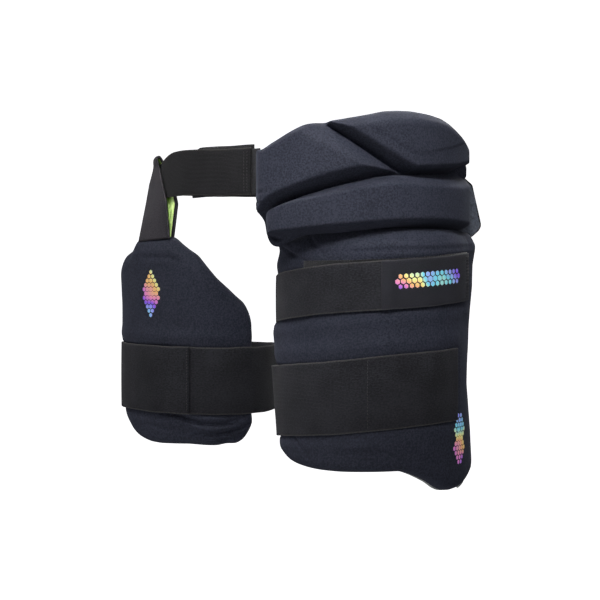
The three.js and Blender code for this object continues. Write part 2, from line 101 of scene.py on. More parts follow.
def smooth_table(rows, angles, soften=2.0):
    """The same with its corners rounded over a few degrees."""
    angles = np.asarray(angles, float)
    offsets = np.linspace(-1, 1, 7) * soften
    return np.mean([read_table(rows, angles + shift) for shift in offsets], axis=0)


def smooth_step(value, low, high):
    share = np.clip((value - low) / (high - low), 0, 1)
    return share * share * (3 - 2 * share)


print("half way between two rows:", read_table([(0, 1.0), (10, 2.0)], 5.0))


# %% [markdown]
# The guard has four bodies to lie on: the hip, each leg and the waist. A function for each turns an
# angle, a distance and a height into a point, so that every later piece is drawn in those terms.

# %% Placing points round the body
def on_hip(angle, radius, height):
    """Round at the side of the hip and straight across the belly in front of it."""
    turn = np.radians(angle)
    straight = angle < 0
    x = np.where(straight, HIP_OFFSET + BASE_OUTER * turn, HIP_OFFSET + radius * np.sin(turn))
    y = np.where(straight, -radius, -radius * np.cos(turn))
    return np.stack(np.broadcast_arrays(x, y, height), axis=-1)


def round_leg(centre, angle, radius, height):
    turn = np.radians(angle)
    x = centre + radius * np.sin(turn)
    return np.stack(np.broadcast_arrays(x, -radius * np.cos(turn), height), axis=-1)


def on_left_leg(angle, radius, height):
    return round_leg(LEG_OFFSET, angle, radius, height)


def on_right_leg(angle, radius, height):
    return round_leg(-LEG_OFFSET, angle, radius, height)


WAIST_DEPTH = HIP_RADIUS + 0.0065
WAIST_RIGHT = 0.163
WAIST_LEFT = HIP_OFFSET + HIP_RADIUS - 2 * BELT_THICKNESS


def on_waist(angle, out, height):
    """The oval of the waist, with out as the distance outside it."""
    turn = np.radians(angle)
    half = np.where(np.sin(turn) < 0, WAIST_RIGHT, WAIST_LEFT)
    along_x = half * np.cos(turn)
    along_y = WAIST_DEPTH * np.sin(turn)
    size = np.hypot(along_x, along_y)
    x = half * np.sin(turn) + out * along_y / size
    y = -WAIST_DEPTH * np.cos(turn) - out * along_x / size
    return np.stack(np.broadcast_arrays(x, y, height), axis=-1)


print("front of the waist at", on_waist(0.0, 0.0, 0.0))


# %% [markdown]
# Small helpers come first. They select one object alone, as an operator needs, read and write its points,
# and give its map, which holds metres on the cloth.

# %% Objects, points and maps
def new_object(name, mesh):
    thing = bpy.data.objects.new(name, mesh)
    bpy.context.scene.collection.objects.link(thing)
    return thing


def only(thing):
    for other in list(bpy.context.selected_objects):
        other.select_set(False)
    thing.select_set(True)
    bpy.context.view_layer.objects.active = thing


def set_uv(mesh, values, name="UVMap"):
    """One pair for each vertex, copied to the face corners that use it."""
    layer = mesh.uv_layers.get(name) or mesh.uv_layers.new(name=name)
    corners = np.empty(len(mesh.loops), int)
    mesh.loops.foreach_get("vertex_index", corners)
    layer.data.foreach_set("uv", np.asarray(values, np.float32)[corners].ravel())


def points_of(thing):
    flat = np.empty(len(thing.data.vertices) * 3)
    thing.data.vertices.foreach_get("co", flat)
    return flat.reshape(-1, 3)


def set_points(thing, points):
    thing.data.vertices.foreach_set("co", np.asarray(points, np.float32).ravel())
    thing.data.update()


# %% [markdown]
# A pad is made from two bent grids of points, an outer face and an inner face, with a rim between them
# that closes it. A cord or a turned edge is a row of rings. Both kinds are closed, so one step can turn
# all their faces outward.

# %% Closed pads and rows of rings
def closed_pad(name, outer, inner, uv):
    """outer and inner are grids of points, columns by rows; the two faces share one rim."""
    columns, rows = outer.shape[:2]
    points = np.concatenate([outer.reshape(-1, 3), inner.reshape(-1, 3)])
    face_size = columns * rows

    def at(column, row, side):
        return side * face_size + column * rows + row

    faces = []
    for column in range(columns - 1):
        for row in range(rows - 1):
            ring = [(column, row), (column + 1, row), (column + 1, row + 1), (column, row + 1)]
            faces.append([at(c, r, 0) for c, r in ring])
            faces.append([at(c, r, 1) for c, r in reversed(ring)])
    border = [(c, 0) for c in range(columns)]
    border += [(columns - 1, r) for r in range(1, rows)]
    border += [(c, rows - 1) for c in range(columns - 2, -1, -1)]
    border += [(0, r) for r in range(rows - 2, 0, -1)]
    for first, second in zip(border, border[1:] + border[:1]):
        faces.append([at(*second, 0), at(*first, 0), at(*first, 1), at(*second, 1)])
    mesh = bpy.data.meshes.new(name)
    mesh.from_pydata([tuple(p) for p in points], [], faces)
    mesh.update()
    set_uv(mesh, np.concatenate([uv.reshape(-1, 2)] * 2))
    return new_object(name, mesh)


def face_outward(thing):
    """Turns the faces of a closed piece outward."""
    only(thing)
    bpy.ops.object.mode_set(mode="EDIT")
    bpy.ops.mesh.select_all(action="SELECT")
    bpy.ops.mesh.normals_make_consistent(inside=False)
    bpy.ops.object.mode_set(mode="OBJECT")
    return thing


def ring_faces(count, sides):
    """The faces between count closed rings of points, one after the other."""
    faces = []
    for ring in range(count - 1):
        low, high = ring * sides, (ring + 1) * sides
        for n in range(sides):
            after = (n + 1) % sides
            faces.append((low + n, low + after, high + after, high + n))
    return faces


print("two rings of eight give", len(ring_faces(2, 8)), "faces")


# %% [markdown]
# A modifier is added and applied at once, so that each piece ends as a plain mesh. Subdivision Surface
# makes the drawn shapes round, with the same number of levels in the view and in the render.

# %% Modifiers
def apply_modifier(thing, kind, name, **settings):
    only(thing)
    modifier = thing.modifiers.new(name, kind)
    for key, value in settings.items():
        setattr(modifier, key, value)
    bpy.ops.object.modifier_apply(modifier=name)


def smooth(thing):
    only(thing)
    bpy.ops.object.shade_smooth()


def subdivide(thing, levels=1):
    apply_modifier(thing, "SUBSURF", "finer", levels=levels, render_levels=levels)


# %% [markdown]
# The foam of the pads sits under a stretched knit cover. A short cloth simulation lets the outer face
# swell and settle while the inner face and the rim are held, which takes the stiffness out of the drawn
# shape. The move of each point is capped, so that the pad keeps its place.

# %% Letting a cover settle
def settle_cover(thing, held, pressure, cap, frames=16):
    """held is True for the points that stay; every other one may move by up to cap."""
    start = points_of(thing).copy()
    group = thing.vertex_groups.new(name="held")
    group.add([int(n) for n in np.flatnonzero(held)], 1.0, "REPLACE")
    only(thing)
    cloth = thing.modifiers.new("cover", "CLOTH")
    settings = cloth.settings
    settings.quality = 5
    settings.mass = 0.25
    settings.tension_stiffness = 22
    settings.compression_stiffness = 10
    settings.shear_stiffness = 8
    settings.bending_stiffness = 0.6
    settings.vertex_group_mass = "held"
    settings.use_pressure = True
    settings.uniform_pressure_force = pressure
    settings.effector_weights.gravity = 0
    cloth.collision_settings.use_collision = False
    cloth.point_cache.frame_start = 1
    cloth.point_cache.frame_end = frames
    for number in range(1, frames + 1):
        bpy.context.scene.frame_set(number)
    seen = thing.evaluated_get(bpy.context.evaluated_depsgraph_get())
    moved = np.empty(len(start) * 3)
    seen.data.vertices.foreach_get("co", moved)
    move = moved.reshape(-1, 3) - start
    move = np.where(np.isfinite(move), move, 0)
    thing.modifiers.remove(cloth)
    bpy.context.scene.frame_set(1)
    length = np.linalg.norm(move, axis=1)
    limited = cap * np.tanh(length / cap)
    scale = np.divide(limited, length, out=np.zeros_like(length), where=length > 1e-9)
    set_points(thing, start + move * scale[:, None])
    print(thing.name, "settled by up to", round(float(limited.max()) * 1000, 2), "mm")


def fold_depth(angles, heights, radius, folds):
    """How far the folds push each point in. Each fold is a line of (angle, height), a width and a depth."""
    depth = np.zeros_like(angles)
    for line, width, deep in folds:
        nearest = np.full(angles.shape, np.inf)
        taper = np.zeros_like(angles)
        steps = zip(line, line[1:])
        spans = [math.hypot(math.radians(b[0] - a[0]) * radius, b[1] - a[1]) for a, b in steps]
        passed = 0.0
        for (a, b), span in zip(zip(line, line[1:]), spans):
            du = math.radians(b[0] - a[0]) * radius
            dv = b[1] - a[1]
            u = np.radians(angles - a[0]) * radius
            v = heights - a[1]
            share = np.clip((u * du + v * dv) / (span * span), 0, 1)
            away = np.hypot(u - share * du, v - share * dv)
            along = (passed + share * span) / sum(spans)
            closer = away < nearest
            nearest = np.where(closer, away, nearest)
            taper = np.where(closer, np.sin(np.pi * np.clip(0.08 + 0.84 * along, 0, 1)), taper)
            passed += span
        groove = np.exp(-((nearest / width) ** 2))
        lip = 0.45 * np.exp(-(((nearest - 2.1 * width) / (1.1 * width)) ** 2))
        depth += deep * taper * (groove - lip)
    return depth


# %% [markdown]
# Finishes. Colours are the sRGB values that the eye sees, turned to linear by one function. One more
# small function adds a node with its settings and links.

# %% Colour and node helpers
def linear(hex_colour, alpha=1.0):
    channels = [int(hex_colour[n : n + 2], 16) / 255 for n in (1, 3, 5)]
    curve = [c / 12.92 if c <= 0.04045 else ((c + 0.055) / 1.055) ** 2.4 for c in channels]
    return (*curve, alpha)


def add_node(tree, kind, inputs=None, stops=(), **settings):
    """inputs maps a socket's name or number to a value, or to an output to link from; stops are the places
    and colours of a ramp."""
    node = tree.nodes.new(kind)
    for key, value in settings.items():
        setattr(node, key, value)
    for key, value in (inputs or {}).items():
        if isinstance(value, bpy.types.NodeSocket):
            tree.links.new(value, node.inputs[key])
        else:
            node.inputs[key].default_value = value
    if stops:
        elements = node.color_ramp.elements
        while len(elements) < len(stops):
            elements.new(0.5)
        for element, (place, colour) in zip(elements, stops):
            element.position = place
            element.color = linear(colour)
    return node


def new_material(name):
    material = bpy.data.materials.new(name)
    material.use_nodes = True
    tree = material.node_tree
    shader = tree.nodes["Principled BSDF"]
    return material, tree, shader


MATH = "ShaderNodeMath"
NOISE = "ShaderNodeTexNoise"
RAMP = "ShaderNodeValToRGB"
print("white in linear light:", linear("#FFFFFF"), "and mid grey:", linear("#808080"))


# %% [markdown]
# The pads wear a polyester and elastane jersey. Its loops are about 0.6 mm, too fine to show here, so
# they are drawn at 1.4 mm. The yarn is matt, with a faint sheen at grazing angles and a slight heather.

# %% Jersey cover
def jersey(name, dark, light):
    material, tree, shader = new_material(name)
    place = add_node(tree, "ShaderNodeTexCoord").outputs["Object"]
    heather = add_node(tree, NOISE, {"Vector": place, "Scale": 520.0, "Detail": 2.0, "Roughness": 0.7})
    broad = add_node(tree, NOISE, {"Vector": place, "Scale": 22.0, "Detail": 3.0})
    yarns = add_node(tree, MATH, {0: heather.outputs["Fac"], 1: 0.84}, operation="MULTIPLY")
    terms = {0: broad.outputs["Fac"], 1: 0.16, 2: yarns.outputs[0]}
    blend = add_node(tree, MATH, terms, operation="MULTIPLY_ADD")
    ramp = add_node(tree, RAMP, {"Fac": blend.outputs[0]}, stops=[(0.4, dark), (0.6, light)])
    tree.links.new(ramp.outputs["Color"], shader.inputs["Base Color"])
    knit = add_node(tree, "ShaderNodeTexVoronoi", {"Vector": place, "Scale": 720.0})
    relief = {"Height": knit.outputs["Distance"], "Strength": 0.28, "Distance": 0.0003}
    loops = add_node(tree, "ShaderNodeBump", relief)
    tree.links.new(loops.outputs["Normal"], shader.inputs["Normal"])
    shader.inputs["Roughness"].default_value = 0.82
    shader.inputs["Specular IOR Level"].default_value = 0.16
    shader.inputs["Sheen Weight"].default_value = 0.06
    shader.inputs["Sheen Roughness"].default_value = 0.45
    shader.inputs["Sheen Tint"].default_value = linear("#A9AFC4")
    return material


jersey_navy = jersey("navy polyester jersey", "#1C1E27", "#2B2D38")
print("jersey has", len(jersey_navy.node_tree.nodes), "nodes")


# %% [markdown]
# The straps are knitted elastic: polyester yarn over rubber cores. Fine ribs run along the strap, and
# the weft shows as crossing flecks. Both edges end in a selvedge that catches a little more light. This is
# a painted highlight: a lighter colour mixed in at the edges. The strap's own map gives metres along and
# across it, so the ribs follow every bend.

# %% Elastic webbing
def webbing(name, dark, light, edge, rib, fleck, width, rough=0.95):
    """rib and fleck are the spacings in metres along and across the weave; width places the selvedges."""
    material, tree, shader = new_material(name)
    weave = add_node(tree, "ShaderNodeUVMap", uv_map="UVMap").outputs["UV"]
    across = add_node(tree, "ShaderNodeSeparateXYZ", {"Vector": weave}).outputs["Y"]
    flecks = add_node(tree, "ShaderNodeMapping", {"Vector": weave, "Scale": (1 / fleck, 1 / rib, 1.0)})
    fine = {"Vector": flecks.outputs[0], "Scale": 1.0, "Detail": 2.0, "Roughness": 0.65}
    speck = add_node(tree, NOISE, fine).outputs["Fac"]
    place = add_node(tree, "ShaderNodeTexCoord").outputs["Object"]
    broad = add_node(tree, NOISE, {"Vector": place, "Scale": 35.0, "Detail": 2.0})
    share = add_node(tree, MATH, {0: broad.outputs["Fac"], 1: 0.3}, operation="MULTIPLY")
    total = add_node(tree, MATH, {0: speck, 1: 0.7, 2: share.outputs[0]}, operation="MULTIPLY_ADD")
    body = add_node(tree, RAMP, {"Fac": total.outputs[0]}, stops=[(0.4, dark), (0.62, light)])

    # The selvedges take the edge colour, a painted highlight flecked by the weave.
    from_middle = add_node(tree, MATH, {0: across, 1: width / 2}, operation="SUBTRACT")
    distance = add_node(tree, MATH, {0: from_middle.outputs[0]}, operation="ABSOLUTE")
    limits = {"Value": distance.outputs[0], "From Min": width / 2 - 0.0017, "From Max": width / 2 - 0.0006}
    border = add_node(tree, "ShaderNodeMapRange", limits)
    flecked_edge_highlight = add_node(tree, MATH, {0: border.outputs[0], 1: speck}, operation="MULTIPLY")
    colours = {"Factor": flecked_edge_highlight.outputs[0], "A": body.outputs["Color"], "B": linear(edge)}
    mixed = add_node(tree, "ShaderNodeMix", colours, data_type="RGBA")
    tree.links.new(mixed.outputs[2], shader.inputs["Base Color"])

    turns = add_node(tree, MATH, {0: across, 1: 2 * math.pi / rib}, operation="MULTIPLY")
    wave = add_node(tree, MATH, {0: turns.outputs[0]}, operation="SINE")
    heights = add_node(tree, MATH, {0: speck, 1: 1.6, 2: wave.outputs[0]}, operation="MULTIPLY_ADD")
    relief = {"Height": heights.outputs[0], "Strength": 0.35, "Distance": 0.0002}
    ribs = add_node(tree, "ShaderNodeBump", relief)
    tree.links.new(ribs.outputs["Normal"], shader.inputs["Normal"])
    shader.inputs["Roughness"].default_value = rough
    shader.inputs["Specular IOR Level"].default_value = 0.15
    shader.inputs["Sheen Weight"].default_value = 0.03
    shader.inputs["Sheen Roughness"].default_value = 0.5
    return material


RIB = 0.0014
FLECK = 0.0022
# The fourth colour of each webbing is the painted highlight on its selvedges.
elastic_upper = webbing("knitted elastic 50", "#18181B", "#29292D", "#4B4947", RIB, FLECK, UPPER_WIDTH)
# The belt is the same 50 mm elastic in a darker copy, which paints in the shade of the weaker light on the
# belt.
belt_elastic_painted_darker = webbing("knitted elastic belt", "#121213", "#1F1E20", "#3E3C39", RIB, FLECK, UPPER_WIDTH)
elastic_wide = webbing("knitted elastic 75", "#18181B", "#28282C", "#4B4947", RIB, FLECK, WIDE_WIDTH)
hook_tab = webbing(
    "woven nylon hook tab", "#1B1B1F", "#24242A", "#3E3D40", 0.0009, 0.0012, UPPER_WIDTH, 0.7
)
hanger_web = webbing("woven hanger webbing", "#28262A", "#383539", "#4A474A", 0.0016, 0.0018, 0.05)
print("webbing has", len(elastic_wide.node_tree.nodes), "nodes")


# %% [markdown]
# Loop pile, the soft half of a hook-and-loop closing, is brushed nylon: a fuzz of fine loops that breaks
# up every edge. It is drawn as a strong, fine bump over a mottled near-black.

# %% Loop pile, satin web, linings and thread
def plain_cloth(name, dark, light, grain, rough, sheen, relief):
    material, tree, shader = new_material(name)
    place = add_node(tree, "ShaderNodeTexCoord").outputs["Object"]
    fibres = {"Vector": place, "Scale": 1 / grain, "Detail": 3.0, "Roughness": 0.7}
    fuzz = add_node(tree, NOISE, fibres).outputs["Fac"]
    ramp = add_node(tree, RAMP, {"Fac": fuzz}, stops=[(0.35, dark), (0.68, light)])
    tree.links.new(ramp.outputs["Color"], shader.inputs["Base Color"])
    raised = add_node(tree, "ShaderNodeBump", {"Height": fuzz, "Strength": relief, "Distance": 0.0006})
    tree.links.new(raised.outputs["Normal"], shader.inputs["Normal"])
    shader.inputs["Roughness"].default_value = rough
    shader.inputs["Specular IOR Level"].default_value = 0.3
    shader.inputs["Sheen Weight"].default_value = sheen
    return material


loop_pile = plain_cloth("brushed loop pile", "#060607", "#202022", 0.0016, 1.0, 0.2, 1.0)
# The satin web's pale grey is partly its own colour and partly painted sheen.
satin_web_painted_sheen = plain_cloth("grey satin stretch", "#262A34", "#4C525E", 0.003, 0.5, 0.3, 0.2)
pale_lining = plain_cloth("pale mesh lining", "#8A8D89", "#B4B7B2", 0.0018, 0.9, 0.2, 0.5)
neon_lining = plain_cloth("neon polyester", "#D2FF80", "#EEFFB4", 0.0016, 0.75, 0.2, 0.3)
black_thread = plain_cloth("bonded black thread", "#0B0B0C", "#232322", 0.0012, 0.55, 0.1, 0.3)
binding_tape = plain_cloth("black edge binding", "#08090B", "#1A1B1F", 0.0015, 0.8, 0.1, 0.5)
print("plain cloths: loop pile, satin, lining, neon, thread and binding")


# %% [markdown]
# The foil is a transfer print with a diffraction film over a metal layer. Its colours run in broad bands
# over the print. The bands are drawn by place, half the shine is metal, and the colours are also emitted
# as a faint painted glow.

# %% Diffraction foil
def foil():
    """Transfer foil with a diffraction film: broad bands of colour that shift over the print."""
    material, tree, shader = new_material("diffraction foil")
    place = add_node(tree, "ShaderNodeTexCoord").outputs["Object"]
    split = add_node(tree, "ShaderNodeSeparateXYZ", {"Vector": place})
    warp = add_node(tree, NOISE, {"Vector": place, "Scale": 38.0, "Detail": 1.0})
    rise = {0: split.outputs["Z"], 1: 14.0, 2: warp.outputs["Fac"]}
    tilt = add_node(tree, MATH, rise, operation="MULTIPLY_ADD")
    reach = {0: split.outputs["X"], 1: 19.0, 2: tilt.outputs[0]}
    slide = add_node(tree, MATH, reach, operation="MULTIPLY_ADD")
    turn = add_node(tree, MATH, {0: slide.outputs[0]}, operation="FRACT")
    bands = [(0.0, "#7FD8E8"), (0.16, "#9FB4F2"), (0.33, "#8A5BE6"), (0.5, "#E58BC0")]
    bands += [(0.66, "#F7C07A"), (0.82, "#F2EFA0"), (1.0, "#7FD8E8")]
    colour = add_node(tree, RAMP, {"Fac": turn.outputs[0]}, stops=bands).outputs["Color"]
    tree.links.new(colour, shader.inputs["Base Color"])
    # Painted glow: the band colours are emitted too, so the foil glows a little though it is no lamp.
    tree.links.new(colour, shader.inputs["Emission Color"])
    shader.inputs["Emission Strength"].default_value = 0.3
    shader.inputs["Metallic"].default_value = 0.55
    shader.inputs["Roughness"].default_value = 0.32
    return material


diffraction_foil = foil()
print("foil has", len(diffraction_foil.node_tree.nodes), "nodes")


# %% [markdown]
# Every piece ends in the same way: it gets its material, is shaded smooth, rides on the one body of the
# guard, and hides the solids that it stands for.

# %% Finishing a piece
def finish_piece(thing, material, slot, *nodes):
    """Gives the piece its finish, puts it on the one body and hides the solids that it stands for."""
    thing.data.materials.clear()
    thing.data.materials.append(material)
    smooth(thing)
    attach(thing, "root")
    if nodes:
        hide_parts(*nodes)
    return thing


# %% [markdown]
# The hip part. On the real guard three blocks of moulded foam lie in one stretched cover. Each block has
# a steep lower wall in shadow and a wide upper bevel that catches the light, with a valley to its
# neighbour. The cover is one height field over the hip: the base, and the three blocks raised on it.

# %% Outlines of the hip part
CROWN = [
    (-25, 0.655), (-23.5, 0.70), (-21, 0.715), (-17, 0.718), (-14, 0.735), (-11, 0.762), (-3.7, 0.813),
    (7, 0.888), (10, 0.900), (13, 0.902), (18, 0.899), (20, 0.907), (22, 0.918), (27, 0.928),
    (35, 0.948), (42, 0.968), (50, 0.996), (58, 1.006), (65, 1.010), (76, 0.998), (83, 0.983),
    (90, 0.952), (98, 0.900), (105, 0.853), (110, 0.818), (117, 0.765),
]
SLANT = [
    (-25, 1.5), (10, 1.01), (18, 0.892), (28, 0.795), (37, 0.698), (45, 0.61), (54, 0.52), (62, 0.455),
    (69, 0.4),
]
CREASE = [
    (-25, 0.17), (-21, 0.135), (-17.5, 0.122), (-14, 0.163), (-9.2, 0.213), (-3.7, 0.247), (5, 0.29),
    (19, 0.35), (32, 0.402), (44, 0.447), (52, 0.464), (58, 0.471), (71, 0.48), (82, 0.492),
    (94, 0.514), (105, 0.547), (117, 0.562),
]
FOOT = [
    (-25, 0.0), (-17.5, -0.01), (-14, -0.03), (-11, -0.035), (-3.7, -0.03), (7, -0.028), (18, -0.016),
    (27, -0.006), (35, 0.002), (50, 0.018), (65, 0.027), (76, 0.027), (83, 0.022), (98, 0.008),
    (117, 0.004),
]
HEM = [
    (-25, 0.303), (-23.4, 0.23), (-20.7, 0.165), (-18.4, 0.06), (-17.2, -0.040), (-16, -0.088),
    (-14, -0.108), (-10.5, -0.115), (-6.5, -0.085), (0, -0.045), (7, -0.018), (14, -0.012),
    (30, -0.006), (60, 0.0), (117, 0.0),
]
print("outline rows:", len(CROWN), len(SLANT), len(CREASE), len(FOOT), len(HEM))


# %% [markdown]
# Each foam block rises from the valleys round it. Its height grows with the distance from the outline,
# measured square to it, and turns level with a rounded corner where the block is full.

# %% The height of the foam under the cover
def hip_height(rows, angles, soften=1.0):
    return HIP_SEAM + HIP_HEIGHT * smooth_table(rows, angles, soften)


def gap_from(rows, angles, heights, side):
    """Distance from an outline, measured square to it; side is 1 above it and -1 below it."""
    line = hip_height(rows, angles)
    run = math.radians(1) * (BASE_OUTER + 0.012)
    slope = (hip_height(rows, angles + 0.5) - hip_height(rows, angles - 0.5)) / run
    return side * (heights - line) / np.sqrt(1 + slope * slope)


def knee(value, sharp=14):
    """Rises straight from 0 and turns level at 1 with a rounded corner."""
    value = np.clip(value, 0, None)
    return value / (1 + value**sharp) ** (1 / sharp)


def ramp(distance, width, edge):
    opened = smooth_step(distance, -0.0002, 0.0009)
    return opened * (edge + (1 - edge) * knee(distance / width))


def hip_radius(angles, heights):
    valley = 0.0004
    above_crease = gap_from(CREASE, angles, heights, 1) - valley
    below_crease = gap_from(CREASE, angles, heights, -1) - valley
    above_slant = gap_from(SLANT, angles, heights, 1) - valley
    below_slant = gap_from(SLANT, angles, heights, -1) - valley
    below_crown = gap_from(CROWN, angles, heights, -1)
    above_foot = gap_from(FOOT, angles, heights, 1)
    front = ramp(above_crease, 0.0095 + 0.0030 * smooth_step(angles, 0, 25), 0.02)
    front = np.minimum(front, ramp(below_slant, 0.0165, 0.2))
    front = np.minimum(front, ramp(below_crown, 0.008, 0.45))
    front = np.minimum(front, 0.02 + 0.98 * knee((angles + 24.5) / 8.4, 4))
    low_wall = np.interp(angles, [38, 50, 75, 105], [0.0060, 0.0064, 0.0078, 0.0092])
    side = np.minimum(ramp(above_crease, low_wall, 0.02), ramp(above_slant, 0.0100, 0.02))
    side = np.minimum(side, ramp(below_crown, 0.0105, 0.4))
    side = np.minimum(side, knee((117 - angles) / 5, 4))
    low_inset = 0.0195 + 0.00035 * np.clip(angles - 66, 0, 40)
    plateau = np.minimum(below_crown - 0.0125, np.minimum(above_slant - 0.0205, above_crease - low_inset))
    side = side + 0.045 * smooth_step(plateau, -0.002, 0.0032) * smooth_step(angles, 38, 43)
    bevel = np.interp(angles, [-16, 5, 35, 100], [0.003, 0.0055, 0.0085, 0.015])
    wall = np.interp(angles, [-14, 5, 40, 100], [0.0035, 0.0052, 0.0075, 0.0105])
    band = ramp(above_foot, wall, 0.02)
    band = np.minimum(band, ramp(below_crease, bevel, 0.3))
    band = np.minimum(band, knee((angles + 17.5) / 7.5, 4))
    band = np.minimum(band, knee((117 - angles) / 4.5, 4))
    rise = np.maximum(np.maximum(front, side), band)
    # Towards the rear edge the cover bridges the crease between the side block and the band
    bridge = smooth_step(angles, 97, 112) * smooth_step(np.abs(above_crease + valley), 0.020, 0.004)
    rise = np.maximum(rise, 0.85 * bridge * knee((117 - angles) / 4.5, 4))
    return BASE_OUTER + 0.0205 * rise


print("radius of the hip cover at the side:", round(float(hip_radius(np.array(90.0), np.array(0.0))), 4))


# %% [markdown]
# The hip part is one stretched cover over a base and three foam blocks. It starts as a grid of points
# wrapped round the hip, and each point is pushed out to the height of the foam below it. That gives the
# bevels and the valleys in one continuous cloth, as on the real guard.

# %% The hip cover
HIP_START, HIP_END = -25.0, 117.0
hip_columns = 128
hip_rows = 56
grid_angles = np.repeat(np.linspace(HIP_START, HIP_END, hip_columns)[:, None], hip_rows, axis=1)
low_edge = hip_height(HEM, grid_angles, 0.6) - RIM_GROWTH
high_edge = hip_height(CROWN, grid_angles, 0.8) + RIM_GROWTH
grid_heights = low_edge + (high_edge - low_edge) * np.linspace(0, 1, hip_rows)[None, :]
outer_radius = hip_radius(grid_angles, grid_heights)
from_side = np.minimum(grid_angles - HIP_START, HIP_END - grid_angles) * math.radians(1) * BASE_OUTER
edge_distance = np.minimum(np.minimum(high_edge - grid_heights, grid_heights - low_edge), from_side)
outer_radius = outer_radius - 0.0035 * (1 - np.sqrt(np.clip(edge_distance / 0.004, 0, 1)))
inner_radius = HIP_RADIUS + 0.0012 * (1 - np.clip(edge_distance / 0.004, 0, 1))
hip_uv = np.stack([np.radians(grid_angles) * BASE_OUTER, grid_heights], axis=-1)
hip_cover = closed_pad(
    "hip_cover",
    on_hip(grid_angles, outer_radius, grid_heights),
    on_hip(grid_angles, inner_radius, grid_heights),
    hip_uv,
)
on_edge = (edge_distance < 0.0035).ravel()
settle_cover(hip_cover, np.concatenate([on_edge, np.ones(on_edge.size, bool)]), 1.5, 0.0012)
subdivide(hip_cover)
print("hip cover points:", len(hip_cover.data.vertices))

# %% [markdown]
# A stretched cover rounds the foam's edges, bridges the narrow valleys and folds where it is gathered.
# The settling run above eases the cover, and the folds are pressed in here, where the photograph shows
# them.

# %% Valleys and folds of the hip cover
# The finer points take back the drawn valleys, which the coarse grid blurs, and get the small folds
cover_folds = [
    ([(-24, -0.0320), (-19, -0.0345), (-14, -0.0375)], 0.0016, 0.0016),
    ([(-22, -0.0460), (-18.5, -0.0415), (-15.5, -0.0375)], 0.0014, 0.0014),
    ([(-23, -0.0235), (-17, -0.0260), (-12, -0.0250)], 0.0018, 0.0010),
    ([(-18, 0.0205), (-14, 0.0240), (-10, 0.0290)], 0.0012, 0.0014),
    ([(-16, -0.0660), (-11, -0.0720), (-6, -0.0745)], 0.0022, 0.0014),
    ([(-14, -0.0520), (-12.5, -0.0600), (-12.5, -0.0680)], 0.0022, 0.0012),
    ([(20, 0.0430), (24, 0.0400), (27, 0.0350)], 0.0016, 0.0010),
]
cover_points = points_of(hip_cover)
straight = cover_points[:, 0] < HIP_OFFSET
from_middle = cover_points[:, 0] - HIP_OFFSET
cover_angles = np.degrees(
    np.where(straight, from_middle / BASE_OUTER, np.arctan2(from_middle, -cover_points[:, 1]))
)
cover_radius = np.where(straight, -cover_points[:, 1], np.hypot(from_middle, cover_points[:, 1]))
cover_heights = cover_points[:, 2]
crown_gap = hip_height(CROWN, cover_angles, 0.8) - cover_heights
hem_gap = cover_heights - hip_height(HEM, cover_angles, 0.6)
end_gap = np.minimum(cover_angles - HIP_START, HIP_END - cover_angles) * math.radians(1) * BASE_OUTER
well_in = smooth_step(np.minimum(np.minimum(crown_gap, hem_gap), end_gap), 0.002, 0.005)
outside = smooth_step(cover_radius, HIP_RADIUS + 0.003, HIP_RADIUS + 0.006)
drawn = hip_radius(cover_angles, cover_heights)
pushed = cover_radius + 0.9 * well_in * (drawn - cover_radius)
pushed = pushed - fold_depth(cover_angles, cover_heights, BASE_OUTER, cover_folds)
grain = np.array([noise.noise((p[0] * 40, p[1] * 40, p[2] * 34)) for p in cover_points])
pushed = pushed + 0.0004 * grain
new_radius = cover_radius + outside * (pushed - cover_radius)
set_points(hip_cover, on_hip(cover_angles, new_radius, cover_heights))
hip_solids = ["hip_base", "hip_block_front", "hip_block_side", "hip_band"]
finish_piece(hip_cover, jersey_navy, "pad_fabric", *hip_solids)
print("hip cover faces:", len(hip_cover.data.polygons))


# %% [markdown]
# The thigh pads are flat foam in a stretched cover. Their faces run straight up the leg and fall off
# over a wide bevel at the top. Straps press them in a little, and the cover gathers in shallow folds
# near the seams.

# %% A thigh pad
def thigh_pad(name, place, pad):
    columns, rows = pad["grid"]
    angles = np.repeat(np.linspace(pad["start"], pad["end"], columns)[:, None], rows, axis=1)
    low = pad["top"] - pad["height"] * smooth_table(pad["bottom"], angles, 1.2) - RIM_GROWTH
    high = pad["top"] - pad["height"] * smooth_table(pad["top_edge"], angles, 1.2) + RIM_GROWTH
    spread = np.linspace(0, 1, rows)[None, :]
    heights = low + (high - low) * spread
    to_top = high - heights
    to_low = heights - low
    to_side = np.minimum(angles - pad["start"], pad["end"] - angles) * math.radians(1) * pad["outer"]
    bevel = np.clip(to_top / pad["top_bevel"], 0, 1)
    top_part = pad["top_full"] + (1 - pad["top_full"]) * (1 - (1 - bevel) ** 1.7)
    foot = np.clip(to_low / pad["foot_bevel"], 0, 1)
    foot_part = pad["rim"] + (1 - pad["rim"]) * np.sqrt(1 - (1 - foot) ** 2)
    side = np.clip(to_side / pad["side_bevel"], 0, 1)
    side_part = pad["rim"] + (1 - pad["rim"]) * np.sqrt(1 - (1 - side) ** 2)
    fullness = np.minimum(np.minimum(top_part, foot_part), side_part)
    thickness = pad["outer"] - pad["inner"]
    radius = pad["inner"] + thickness * fullness
    edge = np.minimum(np.minimum(to_top, to_low), to_side)
    radius = radius - pad["lip"] * (1 - np.sqrt(np.clip(edge / 0.004, 0, 1)))
    inner = pad["inner"] + 0.001 * (1 - np.clip(edge / 0.004, 0, 1))
    uv = np.stack([np.radians(angles) * pad["outer"], heights], axis=-1)
    thing = closed_pad(name, place(angles, radius, heights), place(angles, inner, heights), uv)
    held = np.concatenate([(edge < 0.004).ravel(), np.ones(angles.size, bool)])
    settle_cover(thing, held, pad["pressure"], pad["cap"])
    subdivide(thing)
    shape_face(thing, pad)
    return thing


print("pad walls:", PANEL_THICKNESS, "and", INNER_THICKNESS, "m")


# %% [markdown]
# The face of a pad is then worked as the cloth is on the real one. The straps press it in, it swells
# between them, and small folds run in from the seams.

